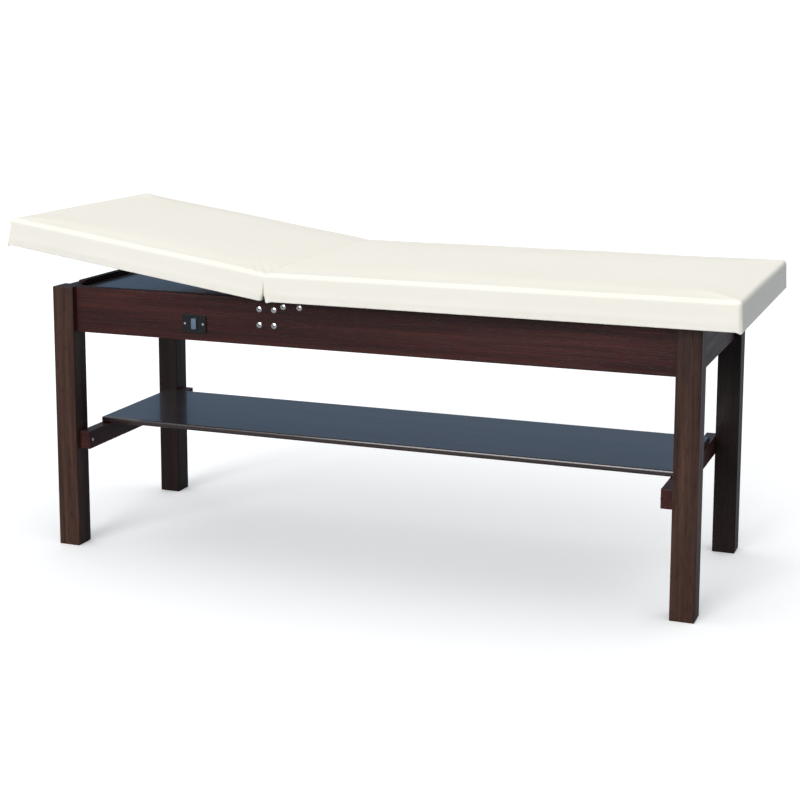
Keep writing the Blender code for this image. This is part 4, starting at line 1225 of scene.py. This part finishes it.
def floor():
    """A wide pale floor."""
    deselect()
    bpy.ops.mesh.primitive_plane_add(size=2 * FLOOR_REACH, location=(0, 0, 0))
    ground = bpy.context.object
    ground.name = "floor"
    made, tree, shader = new_material("pale_floor", Roughness=0.85, Specular_IOR_Level=0.1)
    speckle = tree.noise(tree.place(), 3.0, 3.0)
    pale = tree.mix(speckle, (0.95, 0.95, 0.95), (0.97, 0.97, 0.97))
    seen = tree.add("ShaderNodeLightPath").outputs["Is Camera Ray"]
    tree.put(shader.inputs["Base Color"], tree.mix(seen, DIM_FLOOR, pale))
    tree.put(shader.inputs["Emission Color"], tree.mix(seen, (0.0, 0.0, 0.0), SHADOW_FILL))
    shader.inputs["Emission Strength"].default_value = 1.0
    ground.data.materials.append(made)


def sunlight(name, azimuth, elevation, strength, softness, colour):
    """A distant soft light. Azimuth 0 shines from the front, along +Y, and 90 from the foot end."""
    data = bpy.data.lights.new(name, "SUN")
    data.energy = strength
    data.angle = math.radians(softness)
    data.color = colour
    made = bpy.data.objects.new(name, data)
    bpy.context.scene.collection.objects.link(made)
    turn = math.radians(azimuth)
    rise = math.radians(elevation)
    source = Vector((math.sin(turn) * math.cos(rise), -math.cos(turn) * math.cos(rise), math.sin(rise)))
    made.rotation_euler = source.to_track_quat("Z", "Y").to_euler()


def surroundings():
    """Even white behind everything, and a soft cool room for light and reflections."""
    world = bpy.data.worlds.new("studio")
    bpy.context.scene.world = world
    world.use_nodes = True
    tree = Tree(world.node_tree)
    background = world.node_tree.nodes["Background"]
    seen = tree.add("ShaderNodeLightPath").outputs["Is Camera Ray"]
    split = tree.add("ShaderNodeSeparateXYZ")
    tree.link(tree.add("ShaderNodeTexCoord").outputs["Generated"], split.inputs[0])
    height = tree.ramp(split.outputs["Z"], (0.26, 0.0), (0.74, 1.0))
    room = tree.mix(height, ROOM_LOW, ROOM_HIGH)
    tree.put(background.inputs["Color"], tree.mix(seen, room, WHITE_BEHIND))
    background.inputs["Strength"].default_value = 1.0


def camera():
    data = bpy.data.cameras.new("camera")
    data.sensor_width = 36.0
    data.lens = 75.0
    data.shift_y = -0.15
    data.clip_end = 200.0
    made = bpy.data.objects.new("camera", data)
    bpy.context.scene.collection.objects.link(made)
    middle = (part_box("leg_front_head")[0].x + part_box("leg_front_foot")[1].x) / 2
    made.location = Vector(CAMERA_FROM_MIDDLE) + Vector((middle, 0, 0))
    yaw, pitch, roll = (math.radians(turn) for turn in CAMERA_TURNS)
    aim = Matrix.Rotation(yaw, 3, "Z") @ Matrix.Rotation(math.pi / 2 - pitch, 3, "X")
    made.rotation_euler = (aim @ Matrix.Rotation(-roll, 3, "Z")).to_euler()
    bpy.context.scene.camera = made


def studio():
    floor()
    surroundings()
    sunlight("key", -10.0, 20.0, 1.98, 32.0, (1.0, 0.985, 0.965))
    camera()
    bpy.context.scene.view_settings.view_transform = "Standard"


finish_frame_nodes()
cushions()
hems()
bolt_nuts()
arm_fixings()
rod_wiper()
gearbox_details()
motor_cap()
switch_bezel()
studio()
